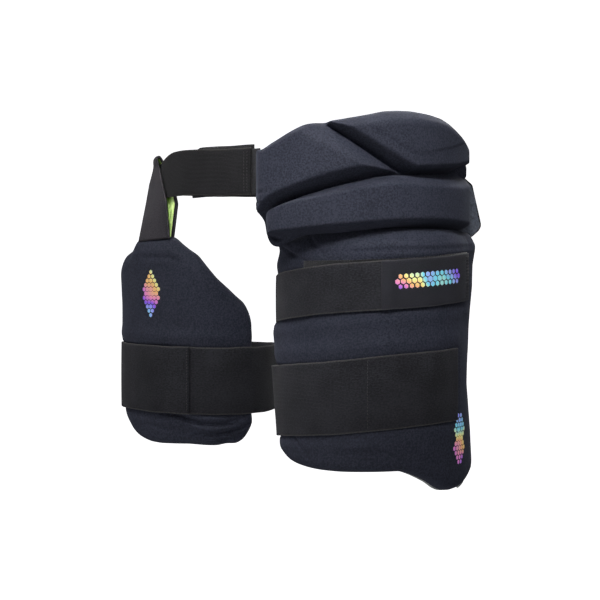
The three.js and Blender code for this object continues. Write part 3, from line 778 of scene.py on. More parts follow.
# %% The face of a pad
def shape_face(thing, pad):
    """Presses the straps in, lets the cover swell between them and draws the folds."""
    points = points_of(thing)
    centre = pad["centre"]
    out_x = points[:, 0] - centre
    out_y = points[:, 1]
    radius = np.hypot(out_x, out_y)
    angles = np.degrees(np.arctan2(out_x, -out_y))
    angles = np.where(angles < pad["start"] - 20, angles + 360, angles)
    outside = smooth_step(radius, pad["inner"] + 0.003, pad["inner"] + 0.008)
    change = np.zeros_like(radius)
    front_edge = 1 - smooth_step(angles, pad["start"] + 6, pad["start"] + 26)
    for middle, width, reach in pad["straps"]:
        away = np.abs(points[:, 2] - middle(angles)) - width / 2
        under = 1 - smooth_step(angles, reach, reach + 5)
        change -= (0.0009 + 0.0016 * front_edge) * under * (1 - smooth_step(away, -0.002, 0.003))
        change += 0.0012 * under * np.exp(-(((away - 0.011) / 0.007) ** 2))
    for table, start, full in pad["swell"]:
        across = smooth_step(angles, min(start, full), max(start, full))
        across = across if full > start else 1 - across
        change += across * np.interp(points[:, 2], *zip(*table))
    change -= fold_depth(angles, points[:, 2], pad["outer"], pad["folds"])
    rough = np.array([noise.noise((p[0] * 38, p[1] * 38, p[2] * 30)) for p in points])
    change += 0.0007 * rough
    scale = 1 + change * outside / radius
    points[:, 0] = centre + out_x * scale
    points[:, 1] = out_y * scale
    set_points(thing, points)


print("a strap presses its pad in by up to", 0.0025, "m")

# %% [markdown]
# The two straps of the left thigh slope down towards the front, so each has a table of heights. The pads
# read them too, because a strap presses in the cloth that it crosses.

# %% Routes of the left straps
UPPER_ROUTE = [
    (-244, 0.185), (-180, 0.215), (-90, 0.27), (-72, 0.268), (-58, 0.263), (-46, 0.258), (8, 0.219),
    (40, 0.205), (65, 0.193), (105, 0.167),
]
LOWER_ROUTE = [
    (-244, 0.6), (-180, 0.63), (-90, 0.672), (-72, 0.67), (-58, 0.668), (-46, 0.666), (8, 0.636),
    (32, 0.617), (55, 0.602), (88.5, 0.588),
]


def upper_height(angles):
    return PANEL_TOP - PANEL_HEIGHT * smooth_table(UPPER_ROUTE, angles, 6)


def lower_height(angles):
    return PANEL_TOP - PANEL_HEIGHT * smooth_table(LOWER_ROUTE, angles, 6)


print("straps in front at", round(float(upper_height(0.0)), 4), "and", round(float(lower_height(0.0)), 4))


# %% [markdown]
# The thigh panel is the large pad down the outside of the left thigh, with a low point at its rear. Its
# outline, the pull of its straps and its shallow folds are tables, so each can be read off and changed
# alone.

# %% The thigh panel
PANEL_BOTTOM = [
    (-54, 0.71), (-51, 0.775), (-45.7, 0.829), (-37.7, 0.859), (-32.5, 0.882), (-28.2, 0.895),
    (-23.4, 0.902), (-17.3, 0.907), (-8.7, 0.912), (-1.3, 0.915), (11.7, 0.917), (49.5, 0.912),
    (56, 0.925), (62.6, 0.942), (69.4, 0.961), (76.4, 0.986), (82, 0.998), (88, 1.003), (94, 1.002),
    (101, 0.994), (110, 0.979), (117, 0.958), (123, 0.93), (129, 0.895), (133, 0.86), (136, 0.81),
]
PANEL_TOP_EDGE = [
    (-54, 0.30), (-51, 0.20), (-48.5, 0.115), (-46, 0.045), (-44, 0.015), (-40, 0.0), (-34, -0.004),
    (-29, -0.006), (-20, -0.006), (30, -0.005), (50, -0.008), (100, -0.012), (110, -0.012),
    (120, -0.010), (128, 0.005), (136, 0.08),
]
panel_folds = [
    ([(-42, -0.0745), (-36, -0.0775), (-24, -0.086), (-8.5, -0.0961), (0, -0.1005)], 0.0020, 0.0024),
    ([(-9, -0.0690), (-3, -0.0790), (5.7, -0.0921)], 0.0018, 0.0018),
    ([(-27, -0.0710), (-21, -0.0780), (-15, -0.0860)], 0.0016, 0.0009),
    ([(-46, -0.0715), (-30, -0.0750), (-12, -0.0800)], 0.0065, -0.0040),
    ([(-26, -0.2740), (-17.7, -0.2809), (-11, -0.2920), (-6.9, -0.3010)], 0.0024, 0.0020),
    ([(16, -0.2910), (27, -0.2895), (36, -0.2903), (43, -0.2935), (49, -0.3005)], 0.0022, 0.0020),
    ([(50, -0.2930), (62, -0.3000), (74, -0.3080)], 0.0040, 0.0009),
    ([(-12, -0.0890), (0.8, -0.0872), (30, -0.0865), (70, -0.0840), (112, -0.0790)], 0.0022, 0.0010),
]
rear_swell = [
    (-0.336, 0.000), (-0.316, 0.0030), (-0.296, 0.0022), (-0.278, 0.0012), (-0.262, 0.0),
    (-0.243, -0.002), (-0.225, -0.0042), (-0.205, -0.0040), (-0.190, -0.0020), (-0.165, -0.0006),
    (-0.147, 0.0008), (-0.121, 0.0038), (-0.098, 0.0040), (-0.086, 0.0062), (-0.077, 0.0085),
    (-0.066, 0.0080),
]
front_swell = [
    (-0.330, -0.0042), (-0.270, -0.0052), (-0.245, -0.0040), (-0.215, -0.0012), (-0.200, 0.0),
    (-0.180, 0.0022), (-0.165, 0.0018), (-0.150, -0.0008), (-0.125, -0.0025), (-0.085, -0.0015),
    (-0.066, 0.0010),
]
thigh_panel = thigh_pad(
    "thigh_panel_cover",
    on_left_leg,
    {
        "grid": (104, 76),
        "start": -54.0,
        "end": 136.0,
        "top": PANEL_TOP,
        "height": PANEL_HEIGHT,
        "bottom": PANEL_BOTTOM,
        "top_edge": PANEL_TOP_EDGE,
        "centre": LEG_OFFSET,
        "inner": PANEL_INNER,
        "outer": PANEL_OUTER,
        "top_bevel": 0.021,
        "top_full": 0.5,
        "foot_bevel": 0.013,
        "side_bevel": 0.013,
        "rim": 0.5,
        "lip": 0.002,
        "pressure": 1.5,
        "cap": 0.0012,
        "straps": [(upper_height, UPPER_WIDTH, 104), (lower_height, WIDE_WIDTH, 88.5)],
        "swell": [(rear_swell, 102, 122), (front_swell, -34, -48)],
        "folds": panel_folds,
    },
)
finish_piece(thigh_panel, jersey_navy, "pad_fabric", "thigh_panel")
print("thigh panel faces:", len(thigh_panel.data.polygons))

# %% [markdown]
# The inner pad lies on the right thigh. It is made as the panel is, with a neck at the top where the
# hanger is sewn on and a slanted edge towards the other leg.

# %% The inner pad
INNER_BOTTOM = [
    (-53, 0.76), (-50, 0.80), (-45, 0.835), (-42.4, 0.845), (-34.2, 0.88), (-27.2, 0.916),
    (-22.1, 0.953), (-16.4, 0.975), (-11.6, 0.987), (-5.3, 0.998), (3.8, 1.003), (26.4, 1.001),
    (40, 1.008), (46.8, 1.009), (53.7, 1.0), (61, 1.002), (65, 0.99), (68, 0.965), (70.5, 0.93),
    (73.5, 0.86),
]
INNER_TOP_EDGE = [
    (-53, 0.18), (-50, 0.135), (-46, 0.105), (-40, 0.085), (-34.2, 0.071), (-27, 0.056), (-24, 0.040),
    (-22, 0.020), (-20, 0.005), (-16, 0.001), (12, 0.0), (16, 0.001), (19.3, 0.022), (26.4, 0.06),
    (33.2, 0.09), (40, 0.148), (46.8, 0.202), (53.7, 0.243), (61, 0.288), (67, 0.318), (70.3, 0.355),
    (73.5, 0.42),
]
INNER_STRAP = PANEL_TOP + GAP - INNER_HEIGHT * 0.692


def inner_strap_height(angles):
    """The strap sits a little higher outside the thigh than on the side of the other leg."""
    turn = (np.asarray(angles, float) + 180) % 360 - 180
    lift = [(-110, 0), (-60, 0.0024), (-20, 0.0018), (12, 0), (45, -0.0018), (80, -0.0014), (130, 0)]
    return INNER_STRAP + read_table(lift, turn)


inner_folds = [
    ([(8, -0.2625), (20, -0.2648), (34.7, -0.2734), (50.6, -0.2750), (63, -0.2690)], 0.0026, 0.0034),
    ([(30, -0.2850), (44.6, -0.2862), (61, -0.2822), (68, -0.2770)], 0.0022, 0.0026),
    ([(-6, -0.2750), (10, -0.2800), (26, -0.2815)], 0.0024, 0.0010),
    ([(36, -0.2915), (50, -0.2925), (62, -0.2895)], 0.0018, 0.0014),
    ([(60, -0.2620), (67, -0.2690)], 0.0026, 0.0012),
    ([(-14, -0.0880), (12, -0.0885), (26, -0.0960)], 0.0030, 0.0006),
]
lean_swell = [(-0.300, 0.0), (-0.180, 0.0), (-0.140, 0.0012), (-0.100, 0.0034), (-0.080, 0.0030)]
inner_pad = thigh_pad(
    "inner_pad_cover",
    on_right_leg,
    {
        "grid": (74, 84),
        "start": -53.0,
        "end": 73.5,
        "top": INNER_TOP,
        "height": INNER_HEIGHT,
        "bottom": INNER_BOTTOM,
        "top_edge": INNER_TOP_EDGE,
        "centre": -LEG_OFFSET,
        "inner": LEG_RADIUS,
        "outer": INNER_OUTER,
        "top_bevel": 0.020,
        "top_full": 0.55,
        "foot_bevel": 0.011,
        "side_bevel": 0.0105,
        "rim": 0.5,
        "lip": 0.002,
        "pressure": 1.5,
        "cap": 0.0012,
        "straps": [(inner_strap_height, WIDE_WIDTH, 400)],
        "swell": [(lean_swell, -20, -40)],
        "folds": inner_folds,
    },
)
finish_piece(inner_pad, jersey_navy, "pad_fabric", "inner_pad")
print("inner pad faces:", len(inner_pad.data.polygons))


# %% [markdown]
# Straps. Webbing is flat and keeps its width, so each strap is a grid laid along its path. The edges
# waver a little, as cut elastic does. Solidify gives the wall, and a small bevel takes the hardness off
# its edges.

# %% Laying a strap
def laid_strip(name, centre_line, width, thickness, across=10, waver=0.0, pinch=None):
    """centre_line gives points, outward directions and up directions along the path, each n by 3; pinch is
    how far the upper edge is drawn down at each point."""
    points, outward, up = centre_line
    count = len(points)
    bpy.ops.mesh.primitive_grid_add(x_subdivisions=count - 1, y_subdivisions=across, size=1, calc_uvs=True)
    thing = bpy.context.object
    thing.name = name
    thing.data.name = name
    start = points_of(thing)
    column = np.rint((start[:, 0] + 0.5) * (count - 1)).astype(int)
    share = start[:, 1] + 0.5
    length = np.concatenate([[0], np.cumsum(np.linalg.norm(np.diff(points, axis=0), axis=1))])
    wave = np.array([noise.noise((s * 45, 3.1, len(name))) for s in length]) * waver
    sag = np.array([noise.noise((s * 30, 9.7, len(name))) for s in length]) * waver * 0.5
    shift = (share - 0.5) * width
    crown = (1 - (2 * share - 1) ** 2) * 0.0003
    placed = points[column] + up[column] * (shift + wave[column] * (2 * share - 1))[:, None]
    placed = placed + outward[column] * (crown + sag[column] * 0.3)[:, None]
    if pinch is not None:
        placed = placed - up[column] * (pinch[column] * share**2)[:, None]
    set_points(thing, placed)
    set_uv(thing.data, np.stack([length[column], share * width], axis=-1))
    thing.data.update()
    face = thing.data.polygons[len(thing.data.polygons) // 2]
    facing = outward[column[face.vertices[0]]]
    if float(np.dot(np.array(face.normal), facing)) < 0:
        thing.data.flip_normals()
    apply_modifier(thing, "SOLIDIFY", "wall", thickness=thickness, offset=1.0)
    apply_modifier(thing, "BEVEL", "soft edge", width=thickness * 0.3, segments=2, limit_method="ANGLE")
    return thing, float(length[-1])


def level_line(points):
    """A path at one height or nearly, with its outward and upward directions."""
    along = np.gradient(points, axis=0)
    outward = np.stack([along[:, 1], -along[:, 0], np.zeros(len(along))], axis=-1)
    outward = outward / np.linalg.norm(outward, axis=1)[:, None]
    up = np.repeat([[0.0, 0.0, 1.0]], len(points), axis=0)
    return points, outward, up


UPPER_LIFT = [(-244, 0), (-90, 0), (-72, 0.33), (-60, 0.72), (-52, 0.82), (-42, 0.92), (-30, 1), (360, 1)]
LOWER_LIFT = [(-244, 0), (-90, 0), (-72, 0.42), (-58, 0.9), (-48, 1), (360, 1)]
ON_PAD = PANEL_OUTER + GAP
ON_PATCH = ON_PAD + 0.0008 + GAP


def left_strap_line(height_at, lifts, end, on_front, lean=0.0, step=2.2):
    """lean tips the strap's face where it leaves the pad in front, so that it follows the thigh's taper."""
    angles = np.linspace(-244, end, int((end + 244) / step) + 1)
    lift = smooth_table(lifts, angles, 4)
    radius = LEG_RADIUS + (on_front - LEG_RADIUS) * lift
    points, outward, up = level_line(on_left_leg(angles, radius, height_at(angles)))
    tipped = lean * smooth_step(angles, -37, -52) * smooth_step(angles, -120, -85)
    return points, outward, up + outward * tipped[:, None]


upper_line = left_strap_line(upper_height, UPPER_LIFT, 40.5, ON_PATCH)
upper_strap, upper_length = laid_strip(
    "upper_thigh_elastic", upper_line, UPPER_WIDTH, STRAP_THICKNESS, 12, 0.0005
)
finish_piece(upper_strap, elastic_upper, "elastic", "upper_thigh_strap")
lower_line = left_strap_line(lower_height, LOWER_LIFT, 88.5, ON_PAD, 0.085)
lower_strap, lower_length = laid_strip(
    "lower_thigh_elastic", lower_line, WIDE_WIDTH, STRAP_THICKNESS, 16, 0.0006
)
finish_piece(lower_strap, elastic_wide, "elastic", "lower_thigh_strap")
print("left straps:", round(upper_length, 3), "m and", round(lower_length, 3), "m")

# %% [markdown]
# The upper strap ends in a smooth hook tab. It steps down from the elastic onto a long patch of loop
# pile, whose upper edge shows above the strap. Both are thin strips laid in the same way as the straps.

# %% The hook tab on the upper strap and the pile patch below it
tab_angles = np.linspace(36.5, 104, 42)
tab_down = smooth_step(tab_angles, 40.5, 47)
tab_radius = ON_PATCH + (STRAP_THICKNESS + GAP) * (1 - tab_down)
tab_line = level_line(on_left_leg(tab_angles, tab_radius, upper_height(tab_angles)))
strap_tab, tab_length = laid_strip("upper_hook_tab", tab_line, UPPER_WIDTH, 0.0011, 12, 0.0004)
finish_piece(strap_tab, hook_tab, "smooth_tab", "upper_strap_tab")

patch_angles = np.linspace(-10, 103, 68)
patch_show = np.interp(patch_angles, [-10, 12, 40, 103], [0.0072, 0.0034, 0.0012, 0.0010])
patch_heights = upper_height(patch_angles) + patch_show
patch_line = level_line(on_left_leg(patch_angles, np.full(68, ON_PAD), patch_heights))
pile_patch, patch_length = laid_strip("upper_pile_patch", patch_line, UPPER_WIDTH, 0.0008, 12, 0.0006)
finish_piece(pile_patch, loop_pile, "loop_pile", "upper_strap_patch")
print("tab and patch:", round(tab_length, 3), "m and", round(patch_length, 3), "m")

# %% [markdown]
# The inner strap goes once round the right thigh and lies over its own start in front. Between the pad
# and the back of the leg it runs straight, because pulled elastic bridges a hollow.

# %% The inner strap
INNER_LIFT = [
    (17, 1), (69, 1), (75, 0.93), (89, 0.5), (102, 0.14), (113, 0), (260, 0), (274, 0.14), (289, 0.5),
    (303, 0.93), (309, 1), (388, 1),
]
wrap_angles = np.linspace(17, 388, 170)
wrap_over = (STRAP_THICKNESS + GAP) * smooth_step(wrap_angles, 350, 366)
wrap_lift = (INNER_OUTER + GAP - LEG_RADIUS) * smooth_table(INNER_LIFT, wrap_angles, 3)
wrap_radius = LEG_RADIUS + wrap_lift + wrap_over
wrap_line = level_line(on_right_leg(wrap_angles, wrap_radius, inner_strap_height(wrap_angles)))
inner_strap, wrap_length = laid_strip(
    "inner_thigh_elastic", wrap_line, WIDE_WIDTH, STRAP_THICKNESS, 16, 0.0006
)
finish_piece(inner_strap, elastic_wide, "elastic", "inner_thigh_strap")
print("inner strap is", round(wrap_length, 3), "m long")

# %% [markdown]
# The belt leaves the rear of the hip part, rises a little round the back and ends in front on a pile
# tab. Its path is joined from two arcs, spaced evenly and smoothed, so that the elastic has no kink
# between them.

# %% The waist belt and the tab under its end
def belt_rise(angles):
    """The belt rides higher at the back than at the front."""
    angles = np.asarray(angles, float)
    back = BACK_RISE * (smooth_step(angles, 124, 165) - smooth_step(angles, 262, 318))
    return back + 0.0042 * (smooth_step(angles, 300, 318) - smooth_step(angles, 335, 362))


under_hip = HIP_RADIUS - GAP - BELT_THICKNESS
belt_start = on_hip(np.linspace(82, 109, 14), under_hip, 0.0)
round_angles = np.linspace(124, 369.8, 120)
belt_round = on_waist(round_angles, -BELT_THICKNESS / 2, belt_rise(round_angles))
joined = np.concatenate([belt_start, belt_round])
steps = np.concatenate([[0], np.cumsum(np.linalg.norm(np.diff(joined, axis=0), axis=1))])
even = np.linspace(0, steps[-1], 190)
belt_points = np.stack([np.interp(even, steps, joined[:, n]) for n in range(3)], axis=-1)
kernel = np.array([1, 2, 3, 2, 1]) / 9
padded_points = np.pad(belt_points, ((2, 2), (0, 0)), mode="reflect", reflect_type="odd")
belt_points = np.stack([np.convolve(padded_points[:, n], kernel, mode="valid") for n in range(3)], axis=-1)
# The hanger's pull draws the belt's upper edge down where it passes through the loop
belt_turn = np.degrees(np.arctan2(belt_points[:, 0] / WAIST_RIGHT, -belt_points[:, 1] / WAIST_DEPTH)) % 360
pulled = 0.0095 * (smooth_step(belt_turn, 268, 292) - smooth_step(belt_turn, 309, 329))
waist_belt, belt_length = laid_strip(
    "waist_elastic", level_line(belt_points), UPPER_WIDTH, BELT_THICKNESS, 12, 0.0005, pulled
)
finish_piece(waist_belt, belt_elastic_painted_darker, "elastic", "waist_belt")

tab_last = math.degrees(math.asin((hip_low.x - GAP) / WAIST_LEFT))
tab_inside = -1.5 * BELT_THICKNESS - GAP
pile_place = on_waist(np.linspace(-19, tab_last + 0.6, 26), tab_inside + 0.0009, -0.0004)
belt_tab, pile_length = laid_strip("belt_pile_tab", level_line(pile_place), 0.0485, 0.0008, 12, 0.0005)
finish_piece(belt_tab, loop_pile, "loop_pile", "belt_tab")
backing_turn = np.linspace(-19, 10.6, 22)
backing_place = on_waist(backing_turn, tab_inside, 0.0050 + 0.0017 * smooth_step(backing_turn, 8, -19))
backing_pinch = 0.0048 * smooth_step(backing_turn, -14, -19)
tab_backing, backing_length = laid_strip(
    "belt_tab_backing", level_line(backing_place), 0.0472, 0.0008, 12, 0.0005, backing_pinch
)
finish_piece(tab_backing, loop_pile, "loop_pile")
print("belt is", round(belt_length, 3), "m long, its pile tab", round(pile_length, 3), "m")


# %% [markdown]
# The hanger is a strip of webbing that is sewn to the neck of the inner pad, runs up outside the belt,
# folds over it and comes down inside. It twists on the way, because the belt turns away from the pad. It
# is laid out as lines along the strip, one for each step across it.

# %% The hanger
def hanger_lines(shares):
    def between(rear, front):
        return rear + (front - rear) * shares

    waist = between(-72, -47)
    low = between(-58, -36)
    back_low = between(-56, -31.5)
    spread = between(0.0115, 0.0010)
    neck = between(-16.9, 13.0)
    back_neck = between(-15, 13.9)
    clear = BELT_THICKNESS / 2 + 2 * GAP + 0.0015
    top = UPPER_WIDTH / 2 + belt_rise(360 + waist) - between(0.0015, 0.0035)
    foot = -UPPER_WIDTH / 2
    seat = HIP_SEAM + 0.0002
    return np.stack([
        on_right_leg(neck, LEG_RADIUS + between(0.0090, 0.0098), seat - between(0.0036, 0.0012)),
        on_waist(low, clear + spread, foot),
        on_waist((low + waist) / 2, clear + 0.001 + spread * 0.6, 0.0),
        on_waist(waist, clear + between(0.0040, 0.0004), top - 0.009),
        on_waist(waist, 0.0062, top),
        on_waist(waist, 0.0049, top + 0.0022),
        on_waist(waist, 0.0017, top + 0.0022),
        on_waist(waist, 0.0004, top),
        on_waist(waist, -clear - 0.0004, top - 0.008),
        on_waist((back_low + waist) / 2, -clear - 0.003, 0.0),
        on_waist(back_low, -clear - 0.001, foot - clear),
        on_right_leg(back_neck, LEG_RADIUS + 0.0014, seat),
    ])


def round_corners(stations, count):
    """Points along each line, evenly spaced, with the corners eased."""
    lines = []
    for column in range(stations.shape[1]):
        line = stations[:, column]
        steps = np.concatenate([[0], np.cumsum(np.linalg.norm(np.diff(line, axis=0), axis=1))])
        even = np.linspace(0, steps[-1], count)
        line = np.stack([np.interp(even, steps, line[:, n]) for n in range(3)], axis=-1)
        padded_line = np.pad(line, ((1, 1), (0, 0)), mode="reflect", reflect_type="odd")
        lines.append(0.25 * padded_line[:-2] + 0.5 * padded_line[1:-1] + 0.25 * padded_line[2:])
    return np.stack(lines, axis=1)


def hanger_layer(name, depth, thickness, first, last, clip=0):
    """first and last are the shares across the strip between which the layer lies; clip rows are left off
    its front end."""
    across = 14
    count = 110
    lines = round_corners(hanger_lines(np.linspace(first, last, across)), count)[clip:]
    count = count - clip
    along = np.gradient(lines, axis=0)
    side = np.gradient(lines, axis=1)
    outward = np.cross(side, along)
    outward = outward / np.linalg.norm(outward, axis=2)[..., None]
    if np.dot(outward[count // 4, across // 2], np.array([-1.0, -1.0, 0.0])) < 0:
        outward = -outward
    middle = lines - outward * depth
    lengths = np.linspace(0, 0.26, count)
    widths = np.linspace(0, 0.05, across)
    uv = np.stack(np.meshgrid(lengths, widths, indexing="ij"), axis=-1)
    half = outward * thickness / 2
    return face_outward(closed_pad(name, middle + half, middle - half, uv))


hanger_strip = hanger_layer("hanger_strip", 0.0, 0.0014, 0.0, 1.0)
finish_piece(hanger_strip, hanger_web, "strip_fabric", "hanger_loop")
hanger_neon = hanger_layer("hanger_neon_lining", 0.0007 + GAP + 0.0004, 0.0008, 0.04, 0.92, 4)
finish_piece(hanger_neon, neon_lining, "neon_fabric", "hanger_lining")
print("hanger faces:", len(hanger_strip.data.polygons), "and", len(hanger_neon.data.polygons))

# %% [markdown]
# The lining of the thigh panel shows as a pale edge under its rear corner, and the fabric web as a
# pointed wing behind the hip part, bound with a black tape.

# %% The panel lining
lining_angles = np.linspace(-50, 131, 120)
lining_rows = 20
lining_grid = np.repeat(lining_angles[:, None], lining_rows, axis=1)
lining_low = PANEL_TOP - PANEL_HEIGHT * smooth_table(PANEL_BOTTOM, lining_grid, 1.5) - 0.0015
lining_high = PANEL_TOP - PANEL_HEIGHT * smooth_table(PANEL_TOP_EDGE, lining_grid, 1.5) - 0.0015
lining_heights = lining_low + (lining_high - lining_low) * np.linspace(0, 1, lining_rows)[None, :]
lining_inner = PANEL_INNER - GAP - 0.0012
lining_uv = np.stack([np.radians(lining_grid) * lining_inner, lining_heights], axis=-1)
panel_lining = closed_pad(
    "panel_lining",
    on_left_leg(lining_grid, np.full(lining_grid.shape, lining_inner + 0.0012), lining_heights),
    on_left_leg(lining_grid, np.full(lining_grid.shape, lining_inner), lining_heights),
    lining_uv,
)
finish_piece(panel_lining, pale_lining, "lining_fabric", "thigh_lining")


# %% [markdown]
# Turned and bound edges are thin round rolls of cloth. One helper sweeps a circle along a row of points.

# %% A round tube along a path
def tube(name, path, radius, sides=8):
    path = np.asarray(path, float)
    along = np.gradient(path, axis=0)
    along = along / np.linalg.norm(along, axis=1)[:, None]
    first = np.cross(along, np.array([0.31, 0.17, 0.93]))
    first = first / np.linalg.norm(first, axis=1)[:, None]
    second = np.cross(along, first)
    turns = np.linspace(0, 2 * math.pi, sides, endpoint=False)
    rings = path[:, None] + radius * (
        np.cos(turns)[None, :, None] * first[:, None] + np.sin(turns)[None, :, None] * second[:, None]
    )
    faces = ring_faces(len(path), sides)
    last = (len(path) - 1) * sides
    faces += [tuple(range(sides - 1, -1, -1)), tuple(last + n for n in range(sides))]
    mesh = bpy.data.meshes.new(name)
    mesh.from_pydata([tuple(p) for p in rings.reshape(-1, 3)], [], faces)
    return face_outward(new_object(name, mesh))


# %% [markdown]
# The lining is turned over at the rear foot of the panel, where its pale edge shows in the photograph.

# %% The turned edge of the lining
edge_angles = np.linspace(96, 130, 36)
edge_heights = PANEL_TOP - PANEL_HEIGHT * smooth_table(PANEL_BOTTOM, edge_angles, 1.2) + 0.0008
edge_radius = PANEL_OUTER - 0.0055 - 0.004 * smooth_step(edge_angles, 118, 130)
lining_edge = tube("lining_edge", on_left_leg(edge_angles, edge_radius, edge_heights), 0.0015)
finish_piece(lining_edge, pale_lining, "lining_fabric")
print("turned edge faces:", len(lining_edge.data.polygons))

# %% [markdown]
# Behind the hip part a small pointed web of stretch satin widens the cover. It is a flat piece with a
# slight ripple, held along its root, and a black tape binds its free edge.

# %% The web behind the hip
WEB_LENGTH = 0.044
lean = math.radians(22)
away = np.array([math.sin(lean), math.cos(lean), 0.0])
web_out = np.array([away[1], -away[0], 0.0])
web_root = on_hip(np.array(116.0), HIP_RADIUS + 0.004, 0.0)
web_columns = 30
web_rows = 24
web_along = np.repeat(np.linspace(0, 1, web_columns)[:, None], web_rows, axis=1)
WEB_TOP = [(0, 0.56), (0.4, 0.53), (0.72, 0.46), (0.95, 0.18), (1, 0.12)]
WEB_FOOT = [(0, 0.02), (0.4, 0.02), (0.72, 0.0), (0.95, 0.06), (1, 0.09)]
web_top = HIP_SEAM + HIP_HEIGHT * read_table(WEB_TOP, web_along)
web_foot = HIP_SEAM + HIP_HEIGHT * read_table(WEB_FOOT, web_along)
web_heights = web_foot + (web_top - web_foot) * np.linspace(0, 1, web_rows)[None, :]
ripple = 0.0012 * np.sin(web_along * 7 + web_heights * 160) * np.sin(np.pi * web_along)
web_middle = web_root + away * (0.00115 + WEB_LENGTH * web_along)[..., None]
web_middle[..., 2] = web_heights
web_uv = np.stack([web_along * WEB_LENGTH, web_heights], axis=-1)
side_web = closed_pad(
    "side_web_cloth",
    web_middle + web_out * (ripple + 0.0005)[..., None],
    web_middle + web_out * (ripple - 0.0005)[..., None],
    web_uv,
)
finish_piece(side_web, satin_web_painted_sheen, "web_fabric", "side_web")
web_edge = np.concatenate([web_middle[2:, -1], web_middle[-1, -2::-1], web_middle[-2:3:-1, 0]])
web_binding = tube("web_binding", web_edge, 0.0011)
finish_piece(web_binding, binding_tape, "web_fabric")


# %% [markdown]
# Stitching. Thread shows on the straps where they are sewn down, as rows of short raised stitches. To lie
# on the cloth, each one needs the place and the direction of the face below it, so a ray is cast at it.

# %% Finding a face
def face_tree(thing):
    return BVHTree.FromPolygons(
        [tuple(p) for p in points_of(thing)], [tuple(f.vertices) for f in thing.data.polygons]
    )


def drop(tree, start, target):
    """Where a straight line from start towards target meets the face, and the way the face looks there."""
    place, normal, _, _ = tree.ray_cast(Vector(start), (Vector(target) - Vector(start)).normalized())
    if normal.dot(Vector(start) - place) < 0:
        normal = -normal
    return np.array(place), np.array(normal)


def drop_on_leg(tree, centre, angle, height):
    start = round_leg(centre, angle, 0.20, height)
    return drop(tree, start, (centre, 0.0, height))


found = drop_on_leg(face_tree(lower_strap), LEG_OFFSET, 29.0, float(lower_height(29.0)))
print("a ray meets the lower strap at", found[0].round(4))

# %% [markdown]
# One stitch is a small rounded grain from a primitive sphere, drawn out along the row, and the row
# repeats it at the needle's pitch.

# %% Sewing a row
STITCH_PITCH = 0.0032
STITCH_LENGTH = 0.0024
THREAD = 0.0005


def sewn_row(name, hits, material, slot):
    """hits are the (place, normal) pairs where the needle goes through, a stitch between each two."""
    only(bpy.data.objects["hip_cover"])
    bpy.ops.mesh.primitive_uv_sphere_add(segments=8, ring_count=5, radius=0.5)
    grain = bpy.context.object
    shape = points_of(grain)
    sides = [tuple(f.vertices) for f in grain.data.polygons]
    bpy.data.objects.remove(grain)
    points, faces = [], []
    for (a, normal_a), (b, normal_b) in zip(hits, hits[1:]):
        along = (b - a) / np.linalg.norm(b - a)
        out = normal_a + normal_b
        out = out / np.linalg.norm(out)
        across = np.cross(out, along)
        middle = (a + b) / 2 + out * THREAD * 0.2
        base = len(points) * len(shape)
        round_part = (shape[:, 1:2] * across + shape[:, 2:] * out) * THREAD
        stretched = shape[:, :1] * along * STITCH_LENGTH + round_part
        points.append(middle + stretched)
        faces += [tuple(base + v for v in side) for side in sides]
    mesh = bpy.data.meshes.new(name)
    mesh.from_pydata([tuple(p) for p in np.concatenate(points)], [], faces)
    thing = new_object(name, mesh)
    finish_piece(thing, material, slot)
    return thing


print("stitches for each metre:", round(1 / STITCH_PITCH))


# %% [markdown]
# Rows across the straps hold the hook pieces behind them. The thread is black, so the rows are seen
# mostly by their relief.

# %% Rows of stitches
def strap_row(name, strap, centre, angle, middle, width):
    tree = face_tree(strap)
    count = int((width - 0.006) / STITCH_PITCH) + 1
    heights = middle + np.linspace(-0.5, 0.5, count) * (width - 0.006)
    sewn_row(name, [drop_on_leg(tree, centre, angle, z) for z in heights], black_thread, "elastic")


strap_row("lower_strap_stitches", lower_strap, LEG_OFFSET, 29.0, float(lower_height(29.0)), WIDE_WIDTH)
strap_row("inner_strap_stitches", inner_strap, -LEG_OFFSET, 26.4, INNER_STRAP, WIDE_WIDTH)
strap_row("tab_stitches_a", strap_tab, LEG_OFFSET, 99.5, float(upper_height(99.5)), UPPER_WIDTH)
strap_row("tab_stitches_b", strap_tab, LEG_OFFSET, 101.8, float(upper_height(101.8)), UPPER_WIDTH)
belt_tree = face_tree(waist_belt)
for letter, from_end in (("a", 1.4), ("b", 2.6)):
    turn = 9.8 - from_end
    rows = np.linspace(-0.5, 0.5, 14) * (UPPER_WIDTH - 0.006)
    hits = [drop(belt_tree, on_waist(turn, 0.05, z), on_waist(turn, -0.05, z)) for z in rows]
    sewn_row("belt_end_stitches_" + letter, hits, black_thread, "elastic")
print("stitch rows sewn")


# %% [markdown]
# Foil. Three places on the guard carry transfer foil that throws rainbow colours. Here each gets a plain
# honeycomb of small hexagons. One hexagon is a six-sided plate, laid flat on the cloth at each cell of
# the comb and turned to the way that the cloth faces there, and the plates of a place are joined.

# %% Foil hexagons
FOIL_THICKNESS = 0.00025


